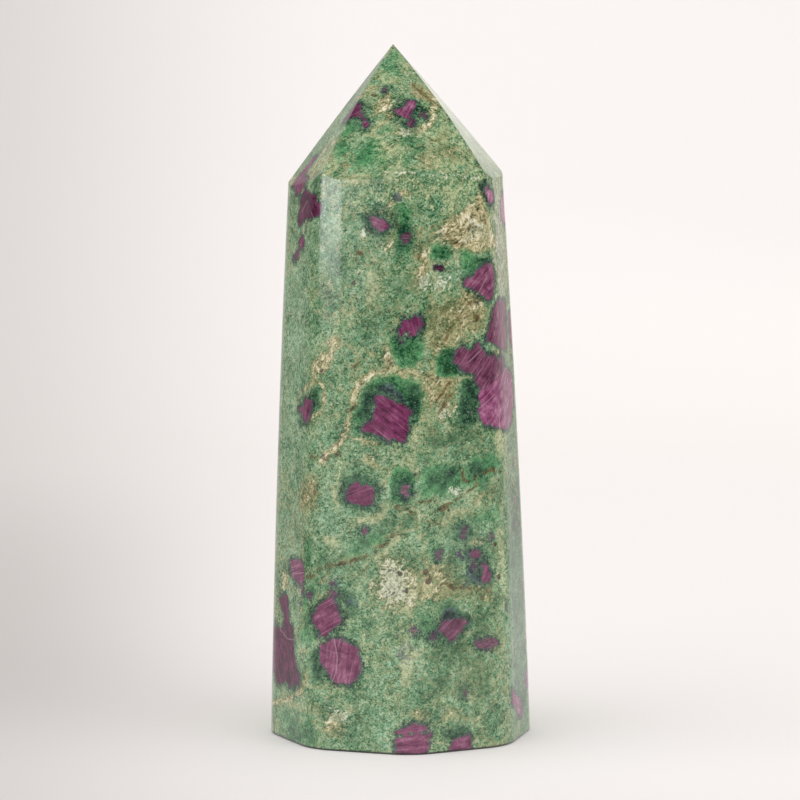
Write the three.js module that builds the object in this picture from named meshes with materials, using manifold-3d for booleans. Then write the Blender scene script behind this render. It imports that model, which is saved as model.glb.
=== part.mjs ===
// A polished tower of ruby in fuchsite: one stone, cut to eight tall faces that widen towards the foot, with
// rounded upright edges, and ground at the top to a sharp eight-faced point that stands a little off the middle.
//
// Millimetres, +Z up. The origin is the middle of the flat foot that the stone stands on. The front is -Y, and
// azimuths are degrees from the front, positive towards +X.

import * as THREE from "three";
import { toCreasedNormals } from "three/addons/utils/BufferGeometryUtils.js";
import Module from "manifold-3d";

// The whole stone.
const HEIGHT = 170;
const SHOULDER_HEIGHT = 137; // where the tall faces end and the point begins, about
const POINT_X = -1.7; // the tip stands this far to the side of the foot's middle
const SHOULDER_X = -1.0; // and so does the middle of the shoulder
const SWELL = 0.55; // how far the tall faces swell out of a straight taper, half way up
const FOOT_CHAMFER = 0.5; // the fine bevel round the foot
const EDGE_RADIUS = 14; // the rounding of the upright edges

// The eight upright edges, in turn round the stone. Each radius is the distance from the middle to the edge
// as it would be if it were sharp. shoulderHeight is where the point's ridge meets it, and ridgeSwell is how
// far that ridge swells out of a straight line, half way to the tip.
const EDGES = [
  { azimuth: 5, footRadius: 33.2, shoulderRadius: 27.6, shoulderHeight: 136.8, ridgeSwell: 0.5 },
  { azimuth: 51, footRadius: 33.8, shoulderRadius: 28.2, shoulderHeight: 137.1, ridgeSwell: 1.2 },
  { azimuth: 95, footRadius: 33.7, shoulderRadius: 27.5, shoulderHeight: 137.6, ridgeSwell: 0.3 },
  { azimuth: 139, footRadius: 33.3, shoulderRadius: 27.5, shoulderHeight: 137.0, ridgeSwell: 0.7 },
  { azimuth: 184, footRadius: 33.1, shoulderRadius: 27.7, shoulderHeight: 137.2, ridgeSwell: 0.5 },
  { azimuth: 229, footRadius: 33.2, shoulderRadius: 27.4, shoulderHeight: 136.3, ridgeSwell: 0.8 },
  { azimuth: 274, footRadius: 33.3, shoulderRadius: 27.6, shoulderHeight: 134.8, ridgeSwell: 0.3 },
  { azimuth: 319, footRadius: 33.2, shoulderRadius: 27.7, shoulderHeight: 136.6, ridgeSwell: 1.1 },
];

// How finely the surface is faceted.
const ARC_STEPS = 8; // along each rounded edge
const LEVELS = 12; // up the tall faces
const RIDGE_STEPS = 8; // down each ridge of the point
const OVERRUN = 6; // the blank's faces run this far past the shoulder, and its end lies this far over the tip
const CREASE = 20; // degrees: anything that turns more sharply than this is shaded as a sharp edge
const POINT_REACH = 6; // the solid that the point is ground to is this many times as tall as the point

const radians = (degrees) => (degrees * Math.PI) / 180;

// A horizontal direction or place, as { x, y }.
const polar = (azimuth, radius) => ({
  x: radius * Math.sin(radians(azimuth)),
  y: -radius * Math.cos(radians(azimuth)),
});

// The share of the way from the foot to the shoulder.
const share = (z) => z / SHOULDER_HEIGHT;
const between = (foot, shoulder, z) => foot + (shoulder - foot) * share(z);
const swellAt = (z) => 4 * SWELL * share(z) * (1 - share(z));
const axisX = (z) => SHOULDER_X * share(z);

// The place of one upright edge at height z, as if it were sharp.
function edgePlace(edge, z) {
  const radius = between(edge.footRadius, edge.shoulderRadius, z) + swellAt(z);
  const place = polar(edge.azimuth, radius);
  return { x: place.x + axisX(z), y: place.y };
}

// The stone's outline at height z: straight faces joined by arcs, running anticlockwise as seen from above.
// inset draws it in all round by that much.
function outline(z, inset) {
  const places = EDGES.map((edge) => edgePlace(edge, z));
  const normals = places.map((from, i) => {
    const to = places[(i + 1) % places.length];
    return Math.atan2(-(to.x - from.x), to.y - from.y);
  });
  const points = [];
  places.forEach((place, i) => {
    const before = normals[(i + normals.length - 1) % normals.length];
    let turn = normals[i] - before;
    turn -= 2 * Math.PI * Math.round(turn / (2 * Math.PI));
    const middle = before + turn / 2;
    const retreat = EDGE_RADIUS / Math.cos(turn / 2); // from the sharp edge to the arc's centre
    const centre = { x: place.x - retreat * Math.cos(middle), y: place.y - retreat * Math.sin(middle) };
    for (let step = 0; step <= ARC_STEPS; step += 1) {
      const angle = before + (turn * step) / ARC_STEPS;
      points.push({
        x: centre.x + (EDGE_RADIUS - inset) * Math.cos(angle),
        y: centre.y + (EDGE_RADIUS - inset) * Math.sin(angle),
      });
    }
  });
  return points;
}

// A closed surface through a stack of rings, each running anticlockwise as seen from above and all with as many
// points, from one point at the bottom to one at the top.
function closedSkin(bottom, rings, top) {
  const count = rings[0].length;
  const last = 1 + count * rings.length;
  const index = [];
  for (let i = 0; i < count; i += 1) {
    const next = (i + 1) % count;
    index.push(0, 1 + next, 1 + i);
    for (let ring = 0; ring + 1 < rings.length; ring += 1) {
      const [a, b] = [1 + ring * count + i, 1 + ring * count + next];
      const [c, d] = [b + count, a + count];
      index.push(a, b, c, a, c, d);
    }
    index.push(last, last - count + i, last - count + next);
  }
  const geometry = new THREE.BufferGeometry();
  const positions = [bottom, ...rings.flat(), top].flatMap(({ x, y, z }) => [x, y, z]);
  geometry.setAttribute("position", new THREE.Float32BufferAttribute(positions, 3));
  geometry.setIndex(index);
  return geometry;
}

// The blank: the tall faces from the chamfered foot up past the tip, before the point is ground.
function blankGeometry() {
  const ring = (z, inset) => outline(z, inset).map((place) => ({ ...place, z }));
  const facesTop = SHOULDER_HEIGHT + OVERRUN;
  const blankTop = HEIGHT + OVERRUN;
  const rings = [ring(0, FOOT_CHAMFER)];
  for (let level = 0; level <= LEVELS; level += 1) {
    rings.push(ring(FOOT_CHAMFER + ((facesTop - FOOT_CHAMFER) * level) / LEVELS, 0));
  }
  rings.push(ring(blankTop, 0));
  return closedSkin({ x: 0, y: 0, z: 0 }, rings, { x: 0, y: 0, z: blankTop });
}

// The solid that the point is ground to: a tall pyramid whose eight ridges swell a little and pass through the
// shoulder's corners.
function pointGeometry() {
  const tip = new THREE.Vector3(POINT_X, 0, HEIGHT);
  const ring = (reach, swells) =>
    EDGES.map((edge) => {
      const { x, y } = edgePlace(edge, edge.shoulderHeight);
      const corner = new THREE.Vector3(x, y, edge.shoulderHeight);
      const swell = polar(edge.azimuth, swells ? 4 * edge.ridgeSwell * reach * (1 - reach) : 0);
      return corner.sub(tip).multiplyScalar(reach).add(tip).add(new THREE.Vector3(swell.x, swell.y, 0));
    });
  const rings = [ring(POINT_REACH, false)];
  for (let step = RIDGE_STEPS + 1; step > 0; step -= 1) rings.push(ring(step / RIDGE_STEPS, true));
  const floor = Math.min(...rings[0].map(({ z }) => z));
  return closedSkin(new THREE.Vector3(0, 0, floor), rings, tip);
}

const wasm = await Module();
wasm.setup();

function solid(geometry) {
  return new wasm.Manifold(
    new wasm.Mesh({
      numProp: 3,
      vertProperties: geometry.getAttribute("position").array,
      triVerts: new Uint32Array(geometry.index.array),
    }),
  );
}

function fromSolid(made) {
  const { vertProperties, triVerts } = made.getMesh();
  const geometry = new THREE.BufferGeometry();
  geometry.setAttribute("position", new THREE.BufferAttribute(vertProperties, 3));
  geometry.setIndex(new THREE.BufferAttribute(triVerts, 1));
  return toCreasedNormals(geometry, radians(CREASE));
}

const tower = new THREE.Mesh(
  fromSolid(solid(blankGeometry()).intersect(solid(pointGeometry()))),
  new THREE.MeshStandardMaterial({ color: 0x5f8a68, roughness: 0.2, metalness: 0 }),
);
tower.name = "stone_tower";

const part = new THREE.Group();
part.add(tower);

export default part;
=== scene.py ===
"""A polished tower of ruby in fuchsite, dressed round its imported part.

The stone is one piece: eight tall faces that widen towards the foot, rounded upright edges, and a ground
point with eight facets. What makes its look is colour: magenta rubies in dark green rims, emerald and
grey-blue halos, cream mica patches and brown veins, in a ground of fine green flakes. The markings on the
front and the sides are drawn one by one on the unrolled surface, and those on the back and the underside by a
seeded random hand of the same kind.
"""

import math
from collections import namedtuple

import bmesh
import bpy
import numpy as np
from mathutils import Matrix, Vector


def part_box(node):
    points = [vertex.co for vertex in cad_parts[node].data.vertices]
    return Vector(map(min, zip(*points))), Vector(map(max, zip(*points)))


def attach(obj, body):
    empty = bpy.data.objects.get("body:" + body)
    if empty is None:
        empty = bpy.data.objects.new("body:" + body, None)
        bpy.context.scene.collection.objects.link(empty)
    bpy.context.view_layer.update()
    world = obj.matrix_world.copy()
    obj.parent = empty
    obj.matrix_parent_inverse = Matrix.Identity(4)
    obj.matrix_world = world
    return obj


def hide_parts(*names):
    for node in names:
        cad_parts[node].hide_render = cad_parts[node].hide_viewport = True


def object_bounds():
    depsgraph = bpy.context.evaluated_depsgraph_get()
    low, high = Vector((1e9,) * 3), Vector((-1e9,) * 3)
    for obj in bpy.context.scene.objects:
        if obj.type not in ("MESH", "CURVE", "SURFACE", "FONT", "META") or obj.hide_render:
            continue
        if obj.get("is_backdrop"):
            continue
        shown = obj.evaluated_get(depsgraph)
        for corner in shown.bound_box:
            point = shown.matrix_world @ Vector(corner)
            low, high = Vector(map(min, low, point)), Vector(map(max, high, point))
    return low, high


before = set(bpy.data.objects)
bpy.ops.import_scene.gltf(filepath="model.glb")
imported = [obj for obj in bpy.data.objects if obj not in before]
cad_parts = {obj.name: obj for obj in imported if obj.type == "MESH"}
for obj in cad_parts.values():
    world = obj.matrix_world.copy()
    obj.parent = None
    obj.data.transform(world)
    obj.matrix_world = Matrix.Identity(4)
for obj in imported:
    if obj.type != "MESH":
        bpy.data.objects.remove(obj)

bl_info = {
    "name": "Ruby Fuchsite Tower",
    "version": (1, 0, 0),
    "blender": (4, 5, 0),
    "location": "3D View > Sidebar > Ruby Fuchsite",
    "description": "Models a polished tower of ruby in fuchsite and the studio that it stands in",
    "category": "Add Mesh",
}

NODE = "stone_tower"
CAD_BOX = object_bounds()
MM = 0.001

# ---------------------------------------------------------------------------------------------------------
# The stone's form, in millimetres. The front is -Y, and azimuths are degrees from it, positive towards +X.

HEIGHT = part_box(NODE)[1].z / MM
SHOULDER_HEIGHT = 137.0  # where the tall faces end and the point begins, about
POINT_X = -1.7  # the tip stands this far to the side of the foot's middle
SHOULDER_X = -1.0  # and so does the middle of the shoulder
OVERRUN = 6.0  # the blank runs this far past the shoulder before the point is ground

# The eight upright edges, in turn round the stone, as if they were sharp. shoulder_height is where the ridge
# of the point meets the edge, and ridge_swell is how far that ridge swells out of a straight line.
Edge = namedtuple("Edge", "azimuth foot_radius shoulder_radius shoulder_height ridge_swell")
EDGES = (
    Edge(5, 33.2, 27.6, 136.8, 0.5),
    Edge(51, 33.8, 28.2, 137.1, 1.2),
    Edge(95, 33.7, 27.5, 137.6, 0.3),
    Edge(139, 33.3, 27.5, 137.0, 0.7),
    Edge(184, 33.1, 27.7, 137.2, 0.5),
    Edge(229, 33.2, 27.4, 136.3, 0.8),
    Edge(274, 33.3, 27.6, 134.8, 0.3),
    Edge(319, 33.2, 27.7, 136.6, 1.1),
)

# How finely the surface is divided. The markings are as sharp as these divisions let them be.
ARC_STEPS = 18  # along each rounded edge
FLAT_STEPS = 18  # across each flat
WALL_STEPS = (15, 15)  # up the tall faces, one division after the other
POINT_STEPS = 56  # from the shoulder to the tip
FOOT_STEPS = 18  # from the foot's rim to its middle
ARC_PROFILE = 0.548  # the bevel profile that is a true arc on a corner of an octagon
CREST = 0.25  # half the width of each ridge's fine rounding
SHOULDER_BEVEL = 0.22  # and of the shoulder's
TIP_SIZE = 0.002  # the tip's last ring, as a share of the shoulder
TIP_CLEARANCE = 10.0  # that rounding works on no edge that reaches nearer to the tip than this
SHOULDER_CLEARANCE = 3.0  # and on none that reaches lower under the shoulder than this

# How the parts of the unfinished mesh are told apart.
LOW = 1.0  # whatever lies lower than this belongs to the foot
STEEP = 1.0  # an edge that rises by less than this is level
BROAD = 5.0  # a level edge longer than this crosses a flat
TALL = 20.0  # an edge that rises by more than this hasn't been divided yet
NEARLY_A_ROW = 0.8  # how much of a row an edge has to rise by, to be divided with it
CUT_TOLERANCE = 0.01  # a corner this near to a cut lies on it
MELD = 0.02  # corners nearer to each other than this become one after the cuts
TIP_MELD = 0.001  # and at the tip


def turned(azimuth, radius):
    """The horizontal place at that azimuth and radius."""
    angle = math.radians(azimuth)
    return Vector((radius * math.sin(angle), -radius * math.cos(angle), 0))


def edge_place(edge, height):
    """The place of an upright edge at a height, as if it were sharp, without the faces' swell."""
    share = height / SHOULDER_HEIGHT
    radius = edge.foot_radius + (edge.shoulder_radius - edge.foot_radius) * share
    return turned(edge.azimuth, radius) + Vector((SHOULDER_X * share, 0, height))


def nearest_edge(place):
    """The upright edge whose azimuth is nearest to a place."""
    azimuth = math.degrees(math.atan2(place.x, -place.y))
    return min(EDGES, key=lambda edge: abs((edge.azimuth - azimuth + 180) % 360 - 180))


def select(obj, kind, test):
    """In edit mode, selects the verts, edges or faces that pass the test, and nothing else."""
    bpy.ops.mesh.select_mode(type={"verts": "VERT", "edges": "EDGE", "faces": "FACE"}[kind])
    bpy.ops.mesh.select_all(action="DESELECT")
    mesh = bmesh.from_edit_mesh(obj.data)
    chosen = [element for element in getattr(mesh, kind) if test(element)]
    if not chosen:
        raise RuntimeError(f"no {kind} of {obj.name} to work on")
    for element in chosen:
        element.select_set(True)
    mesh.select_flush_mode()
    bmesh.update_edit_mesh(obj.data)
    return chosen


def steepness(edge):
    """How far an edge of a mesh rises, in millimetres."""
    return abs(edge.verts[0].co.z - edge.verts[1].co.z) / MM


def on_wall(edge):
    """Whether an edge of a mesh lies on the tall faces."""
    return all(vertex.co.z < (SHOULDER_HEIGHT + OVERRUN / 2) * MM for vertex in edge.verts)


def cut_blank(obj, settings):
    """Shapes the first octagon into the blank: a tube of eight tapering faces with rounded upright edges."""
    for edge in EDGES:
        place = edge_place(edge, 0) * MM
        mesh = bmesh.from_edit_mesh(obj.data)
        corner = min(mesh.verts, key=lambda vertex: (vertex.co - place).length)
        move = place - corner.co
        select(obj, "verts", lambda vertex: vertex.index == corner.index)
        bpy.ops.transform.translate(value=move)
    reach = settings.edge_radius * math.tan(math.pi / len(EDGES))
    bpy.ops.mesh.select_all(action="SELECT")
    bpy.ops.mesh.bevel(
        affect="VERTICES", offset=reach, segments=ARC_STEPS, profile=ARC_PROFILE, clamp_overlap=False
    )
    mesh = bmesh.from_edit_mesh(obj.data)
    middles = [
        min(mesh.verts, key=lambda vertex: (vertex.co - edge_place(edge, 0) * MM).length).index
        for edge in EDGES
    ]
    select(obj, "verts", lambda vertex: vertex.index in middles)
    bpy.ops.mesh.bevel(affect="VERTICES", offset=CREST * MM, segments=2, clamp_overlap=False)

    top = SHOULDER_HEIGHT + OVERRUN
    select(obj, "faces", lambda face: True)
    bpy.ops.mesh.extrude_region_move(TRANSFORM_OT_translate={"value": (0, 0, top * MM)})
    for edge in EDGES:
        move = (edge_place(edge, top) - edge_place(edge, 0)) * MM
        move.z = 0
        select(obj, "verts", lambda vertex: vertex.co.z > LOW * MM and nearest_edge(vertex.co) is edge)
        bpy.ops.transform.translate(value=move)
    select(obj, "faces", lambda face: face.calc_center_median().z > top * MM * 0.99)
    bpy.ops.mesh.delete(type="ONLY_FACE")
    select(obj, "edges", lambda edge: edge.calc_length() > BROAD * MM and steepness(edge) < STEEP)
    bpy.ops.mesh.subdivide(number_cuts=FLAT_STEPS - 1)


def shoulder_corner(obj, edge, retreat):
    """Where the point's ridge meets the middle of a rounded upright edge."""
    height = edge.shoulder_height + (HEIGHT - edge.shoulder_height) * retreat / edge.shoulder_radius
    mesh = bmesh.from_edit_mesh(obj.data)
    lows = [vertex for vertex in mesh.verts if vertex.co.z < LOW * MM]
    foot = min(lows, key=lambda vertex: (vertex.co - edge_place(edge, 0) * MM).length)
    upright = next(link for link in foot.link_edges if steepness(link) > STEEP)
    rise = upright.other_vert(foot).co - foot.co
    return foot.co + rise * (height * MM / rise.z)


def grind_point(obj, settings):
    """Grinds the eight facets of the point: cuts the blank along each, and closes it up to the tip."""
    tip = Vector((POINT_X, 0, HEIGHT)) * MM
    half_turn = math.pi / len(EDGES)
    retreat = settings.edge_radius / MM * (1 / math.cos(half_turn) - 1)
    corners = [shoulder_corner(obj, edge, retreat) for edge in EDGES]
    for first, second in zip(corners, corners[1:] + corners[:1]):
        outwards = (first - tip).cross(second - tip).normalized()
        bpy.ops.mesh.select_all(action="SELECT")
        bpy.ops.mesh.bisect(plane_co=tip, plane_no=outwards, clear_outer=True, threshold=CUT_TOLERANCE * MM)
    bpy.ops.mesh.select_all(action="SELECT")
    bpy.ops.mesh.remove_doubles(threshold=MELD * MM)

    select(obj, "edges", lambda edge: edge.is_boundary)
    bpy.ops.mesh.extrude_edges_move()
    bpy.ops.transform.resize(value=(TIP_SIZE,) * 3, center_override=tip)
    low = min(corner.z for corner in corners) - SHOULDER_CLEARANCE * MM
    high = tip.z - TIP_CLEARANCE * MM

    def on_ridges(edge):
        return not edge.is_boundary and all(low < vertex.co.z < high for vertex in edge.verts)

    select(obj, "edges", on_ridges)
    bpy.ops.mesh.bevel(
        affect="EDGES", offset=SHOULDER_BEVEL * MM, segments=2, profile=0.5, clamp_overlap=False
    )
    return tip


def finish_foot(obj, settings):
    """Bevels the foot's rim and rules its flat underside into rings."""
    select(obj, "edges", lambda edge: all(vertex.co.z < LOW * MM for vertex in edge.verts))
    bpy.ops.mesh.bevel(
        affect="EDGES", offset=settings.foot_chamfer, segments=2, profile=0.5, clamp_overlap=False
    )
    for step in range(FOOT_STEPS, 1, -1):
        select(obj, "faces", lambda face: len(face.verts) > len(EDGES))
        bpy.ops.mesh.inset(thickness=0)
        share = (step - 1) / step
        bpy.ops.transform.resize(value=(share, share, 1), center_override=(0, 0, 0))
    select(obj, "faces", lambda face: len(face.verts) > len(EDGES))
    bpy.ops.mesh.merge(type="CENTER")


def divide_surface(obj, tip):
    """Rules the tall faces and the point into rows fine enough for the markings, and closes the tip."""
    select(obj, "edges", lambda edge: not on_wall(edge) and steepness(edge) > TALL)
    bpy.ops.mesh.subdivide(number_cuts=POINT_STEPS - 1)
    rise = SHOULDER_HEIGHT
    for steps in WALL_STEPS:
        select(obj, "edges", lambda edge: on_wall(edge) and steepness(edge) > rise * NEARLY_A_ROW)
        bpy.ops.mesh.subdivide(number_cuts=steps - 1)
        rise /= steps
    select(obj, "edges", lambda edge: edge.is_boundary)
    bpy.ops.transform.resize(value=(0, 0, 0), center_override=tip)
    bpy.ops.mesh.select_all(action="SELECT")
    bpy.ops.mesh.remove_doubles(threshold=TIP_MELD * MM)
    bpy.ops.mesh.select_all(action="SELECT")
    bpy.ops.mesh.normals_make_consistent(inside=False)


# ---------------------------------------------------------------------------------------------------------
# The markings, drawn on the unrolled surface by points of azimuth, in degrees, and height, in millimetres
# above the foot. A height below 0 lies that far in from the foot's rim, on the underside.

# A ruby crystal. tone runs from dark maroon, 0, to pink, 1, and vivid from brownish, 0, to magenta, 1. rim
# is the width of its dark green rim in millimetres, streak is the slope of its fine scratches in degrees, and
# show is how much of it shows through the green.
Ruby = namedtuple("Ruby", "tone vivid rim streak outline show", defaults=(1.0,))
RUBIES = (
    # On the point.
    Ruby(0.35, 0.5, 0.7, 40, ((-55, 151.4), (-50, 153.4), (-44, 154.3), (-39.5, 155), (-35, 154),
        (-32, 152.8), (-26, 150.7), (-23, 150), (-24.5, 149), (-28, 149.7), (-30.7, 151), (-35, 152.1),
        (-39, 151.7), (-47, 150.9), (-51.5, 150.6))),
    Ruby(0.2, 0.3, 0.8, 0, ((-18, 158.3), (-15, 158.9), (-11.5, 158.3), (-14, 157.6)), 0.6),
    Ruby(0.55, 0.6, 0.7, 60, ((2, 153.1), (5.5, 154), (10.3, 153.8), (14.5, 155.5), (20, 156.2),
        (25.5, 155.5), (25.9, 154.8), (22.8, 153.8), (17.2, 153.1), (13.8, 152.1), (10.3, 151.2),
        (6.9, 151.7), (4, 152.4))),
    Ruby(0.25, 0.6, 0.9, 60, ((9, 150.7), (17.2, 151), (18.6, 150.7), (15.9, 149.7), (12.4, 149.1),
        (9.7, 149.7)), 0.95),
    Ruby(0.3, 0.3, 0.6, 0, ((23.4, 152), (27.6, 152.8), (31, 152.4), (29.7, 151.7), (26.2, 151.5)), 0.7),
    # Round the shoulder.
    Ruby(0.5, 0.6, 0.5, 75, ((-77, 136.9), (-74, 140), (-72, 142.4), (-65.2, 142.4), (-66.2, 139.7),
        (-67.2, 136.9), (-60.3, 136.7), (-58.6, 135.5), (-61, 134.1), (-68, 133.1), (-71.4, 133.4),
        (-73.4, 135.2))),
    Ruby(0.2, 0.6, 0.5, -50, ((-56.9, 135), (-51.4, 133.4), (-45.9, 132.1), (-41.7, 130.3), (-41.4, 128.6),
        (-42.4, 127.8), (-51.4, 127.2), (-57.6, 126.4), (-64.5, 125.7), (-64.8, 127.2), (-64.1, 130.3),
        (-61.7, 132.8), (-59.7, 134.1))),
    Ruby(0.5, 0.55, 1.2, -20, ((-13.1, 127.4), (-10, 127.9), (-7.2, 127.1), (-3.8, 126), (-2.3, 125.5),
        (-4.5, 124.7), (-10, 124.5), (-12.1, 125.2), (-12.8, 126.4))),
    Ruby(0.4, 0.6, 0.5, 60, ((-63, 121.8), (-60, 123.3), (-57.5, 123.2), (-56.5, 121.6), (-59, 120.3),
        (-62.5, 119.8))),
    Ruby(0.5, 0.6, 0.4, 60, ((-69.5, 118), (-66, 119.6), (-62.5, 119.4), (-62, 118.2), (-65, 117.4),
        (-68.5, 117.1))),
    Ruby(0.35, 0.15, 0.9, 0, ((2.5, 123), (4.8, 124.1), (7, 123), (6.5, 121.6), (4, 121.4)), 0.75),
    Ruby(0.8, 0.9, 0.7, 80, ((51, 135.2), (53, 135.9), (54.8, 135.2), (55.2, 133.8), (58.6, 133.8),
        (61, 132.9), (59.3, 131.4), (55.9, 131), (53.1, 132.4), (51, 133.8))),
    Ruby(0.95, 0.7, 0.4, 85, ((76.5, 126.9), (78.6, 131.7), (84.8, 133.4), (90, 133.4), (95, 131), (93, 126),
        (86, 126.5), (80, 126.2))),
    # Down the front and its right.
    Ruby(0.5, 0.5, 0.7, 40, ((35.2, 112.2), (37.2, 112.9), (41.4, 113.6), (44.8, 115.3), (49.7, 116.6),
        (54.5, 116.4), (56.5, 115), (56.5, 112.9), (55.9, 111.2), (55.2, 109.5), (53.1, 108.1), (49, 107.8),
        (45.5, 109.1), (44.1, 110.2), (38.6, 110.9), (36.6, 111.2))),
    Ruby(0.0, 0.1, 0.3, 0, ((19, 115.5), (20.7, 116.2), (24.1, 116.2), (26.2, 115.3), (23.4, 115),
        (20.7, 115.2))),
    Ruby(0.4, 0.8, 0.6, -75, ((0.3, 101.2), (2, 102.6), (6.9, 102.9), (9, 104.3), (11.4, 103.6),
        (11.7, 101.6), (10.3, 100.5), (6.9, 99.8), (4.1, 100.5), (2.8, 99.5), (2, 98.4), (0.7, 99.1),
        (0.5, 100.2))),
    Ruby(0.42, 0.35, 0.6, 50, ((29.7, 92.9), (30.3, 95.3), (34.5, 97.2), (37.5, 96.2), (39.3, 96),
        (42.8, 97.6), (45.5, 96.4), (46.9, 95), (49.7, 94), (52.4, 94.7), (55.2, 93.6), (62, 94), (66, 92.5),
        (62, 87), (52, 85), (44, 85), (42.8, 86.5), (42, 87.5), (40.7, 88.5), (40.5, 89.9), (37.2, 90.9),
        (33, 91.3))),
    Ruby(0.64, 0.95, 0.5, 38, ((42.8, 86.5), (46, 90), (52, 91.5), (60, 91.5), (64, 90.8), (69, 91.2),
        (75, 90), (80, 90.3), (82.5, 89), (83, 85), (82, 81.5), (79, 80.6), (76, 78), (70, 76.2), (62, 76.6),
        (57, 76.8), (53.1, 77.3), (50, 77.6), (45.5, 78), (42.5, 79.2), (41.4, 81), (42.5, 82.5),
        (41.5, 84.5))),
    Ruby(0.5, 0.3, 0.5, 60, ((47.9, 98.3), (49.7, 99.5), (51, 102.2), (53.8, 104.7), (55.2, 106.7),
        (59.3, 107.4), (69, 107.4), (74.5, 107.1), (76.5, 105.7), (75.2, 102.9), (74.5, 99.5), (73.8, 96.4),
        (69, 95.3), (60.7, 96), (55.2, 97.1), (51, 97.4))),
    Ruby(0.6, 0.5, 0.5, 60, ((82, 103.6), (86, 104.5), (92, 104), (95, 100), (92, 96.5), (84, 96.2),
        (81.5, 98.5))),
    Ruby(0.36, 1.0, 0.6, -38, ((-10.7, 85), (-7.2, 85.7), (-4.5, 85), (-0.3, 83.6), (4.1, 82.6), (6.9, 81.9),
        (5.3, 80.3), (4.8, 77.8), (4.1, 76.1), (2.1, 74.2), (0, 74.6), (-3.8, 74.9), (-8.6, 75.8),
        (-14.1, 76.6), (-17.2, 77.5), (-14.8, 78.9), (-11.4, 79.9), (-12, 81), (-10.7, 82.2))),
    Ruby(0.35, 0.6, 0.6, 70, ((-56.9, 81.6), (-53.4, 82), (-50, 84), (-47.2, 84.1), (-44.8, 83.3),
        (-44.5, 81.5), (-45.9, 79.9), (-48.6, 78.2), (-50.7, 78.3), (-52.8, 79.9), (-56.2, 80.9))),
    Ruby(0.38, 0.7, 1.0, 20, ((-25.2, 62.3), (-23.8, 63.7), (-21, 64.7), (-16.9, 64.2), (-12.1, 63.9),
        (-11, 63), (-11.7, 60.9), (-12.1, 59.2), (-15.5, 59.2), (-19.7, 59.6), (-24.5, 60.2))),
    Ruby(0.6, 0.3, 0.8, 0, ((2.1, 63.7), (4.1, 64), (5.5, 63), (4.8, 61.6), (2.8, 61.6), (1.4, 62.7)), 0.75),
    Ruby(0.3, 0.5, 0.6, 0, ((-17.2, 53.8), (-15.5, 54), (-15, 53), (-16.2, 52.4), (-17.4, 52.9)), 0.7),
    Ruby(0.8, 0.6, 0.3, 0, ((75, 67.5), (76.5, 68.6), (78, 67.5), (76.5, 66.3)), 0.8),
    Ruby(0.8, 0.6, 0.3, 0, ((75, 58.7), (76.5, 59.8), (78, 58.7), (76.5, 57.5)), 0.9),
    Ruby(0.8, 0.6, 0.3, 0, ((75, 52.2), (76.5, 53.3), (78, 52.2), (76.5, 51)), 0.7),
    # Low on the stone.
    Ruby(0.5, 0.6, 0.6, 15, ((-64.5, 44), (-62.4, 44.7), (-60.3, 44), (-54.1, 44.9), (-50, 44), (-48.6, 42.3),
        (-48.6, 40.2), (-50, 39.2), (-55.5, 39.4), (-59, 40.2), (-62.4, 41.6), (-63.1, 43))),
    Ruby(0.4, 0.6, 0.5, 15, ((-51.4, 38.9), (-48.6, 38.2), (-48, 36.8), (-49.3, 36.8)), 0.8),
    Ruby(0.4, 0.6, 0.5, 15, ((-46.6, 37.5), (-43.1, 37.9), (-42.4, 36.5), (-44.5, 35.8)), 0.8),
    Ruby(0.14, 1.0, 0.6, -65, ((-75.2, 34.1), (-74.1, 34.9), (-70, 35.3), (-65.9, 35.1), (-64.5, 33.4),
        (-64.1, 31), (-64.5, 29.6), (-60.3, 28.2), (-58.3, 25.8), (-57.9, 23), (-56.2, 20.3), (-52.8, 17.9),
        (-51.4, 16.5), (-52.8, 14.4), (-56.9, 14.2), (-62.4, 13.7), (-65.9, 14.4), (-70, 13.7), (-74.1, 12.9),
        (-76.9, 13.4), (-79, 14.8), (-83, 16), (-87, 19), (-88, 23), (-84, 26), (-77.6, 27.2), (-75.2, 27.5),
        (-72.8, 26.5), (-70.7, 27.2), (-69.3, 29.2), (-70.7, 30.6), (-71.4, 32), (-74.1, 33))),
    Ruby(0.46, 0.6, 0.7, 30, ((-41.7, 32.3), (-40.3, 33.7), (-36.2, 35.4), (-33.4, 36.8), (-31.4, 37.2),
        (-30, 35.8), (-29.3, 34.1), (-27.2, 32), (-27.6, 30.3), (-30.7, 29.2), (-33.4, 28.2), (-34.8, 27.2),
        (-37.6, 27.3), (-38.3, 28.9), (-41, 30.6))),
    Ruby(0.3, 0.5, 0.5, 0, ((-32.8, 38.9), (-29.3, 38.9), (-29.3, 37.5), (-32.8, 37.5)), 0.7),
    Ruby(0.3, 0.5, 0.5, 0, ((-32, 40.6), (-30, 41), (-29.3, 39.6), (-32.4, 39.4)), 0.7),
    Ruby(0.52, 0.6, 0.5, 80, ((-37.6, 22.7), (-36.9, 25.4), (-34.8, 26.1), (-30, 26.8), (-25.2, 27),
        (-21, 25.8), (-19, 24.1), (-17.2, 21.3), (-18.3, 19.2), (-21, 17.5), (-23.8, 16.5), (-28.6, 16),
        (-30.7, 16.7), (-32.8, 18.6), (-35.5, 20.6))),
    Ruby(0.5, 0.6, 0.6, 5, ((-2, 5.5), (0, 6.2), (2.8, 6.9), (8.3, 7.3), (11, 6.8), (10.7, 5.8), (6.9, 5.2),
        (0, 4.9))),
    Ruby(0.5, 0.65, 0.5, 5, ((-1.7, 4.4), (0, 4.6), (6.9, 4.9), (13.8, 5), (14.8, 4.3), (12.4, 3.4),
        (12.1, 0.5), (11, -2), (5, -4), (0, -2), (-1.7, 1), (-2, 3))),
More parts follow.
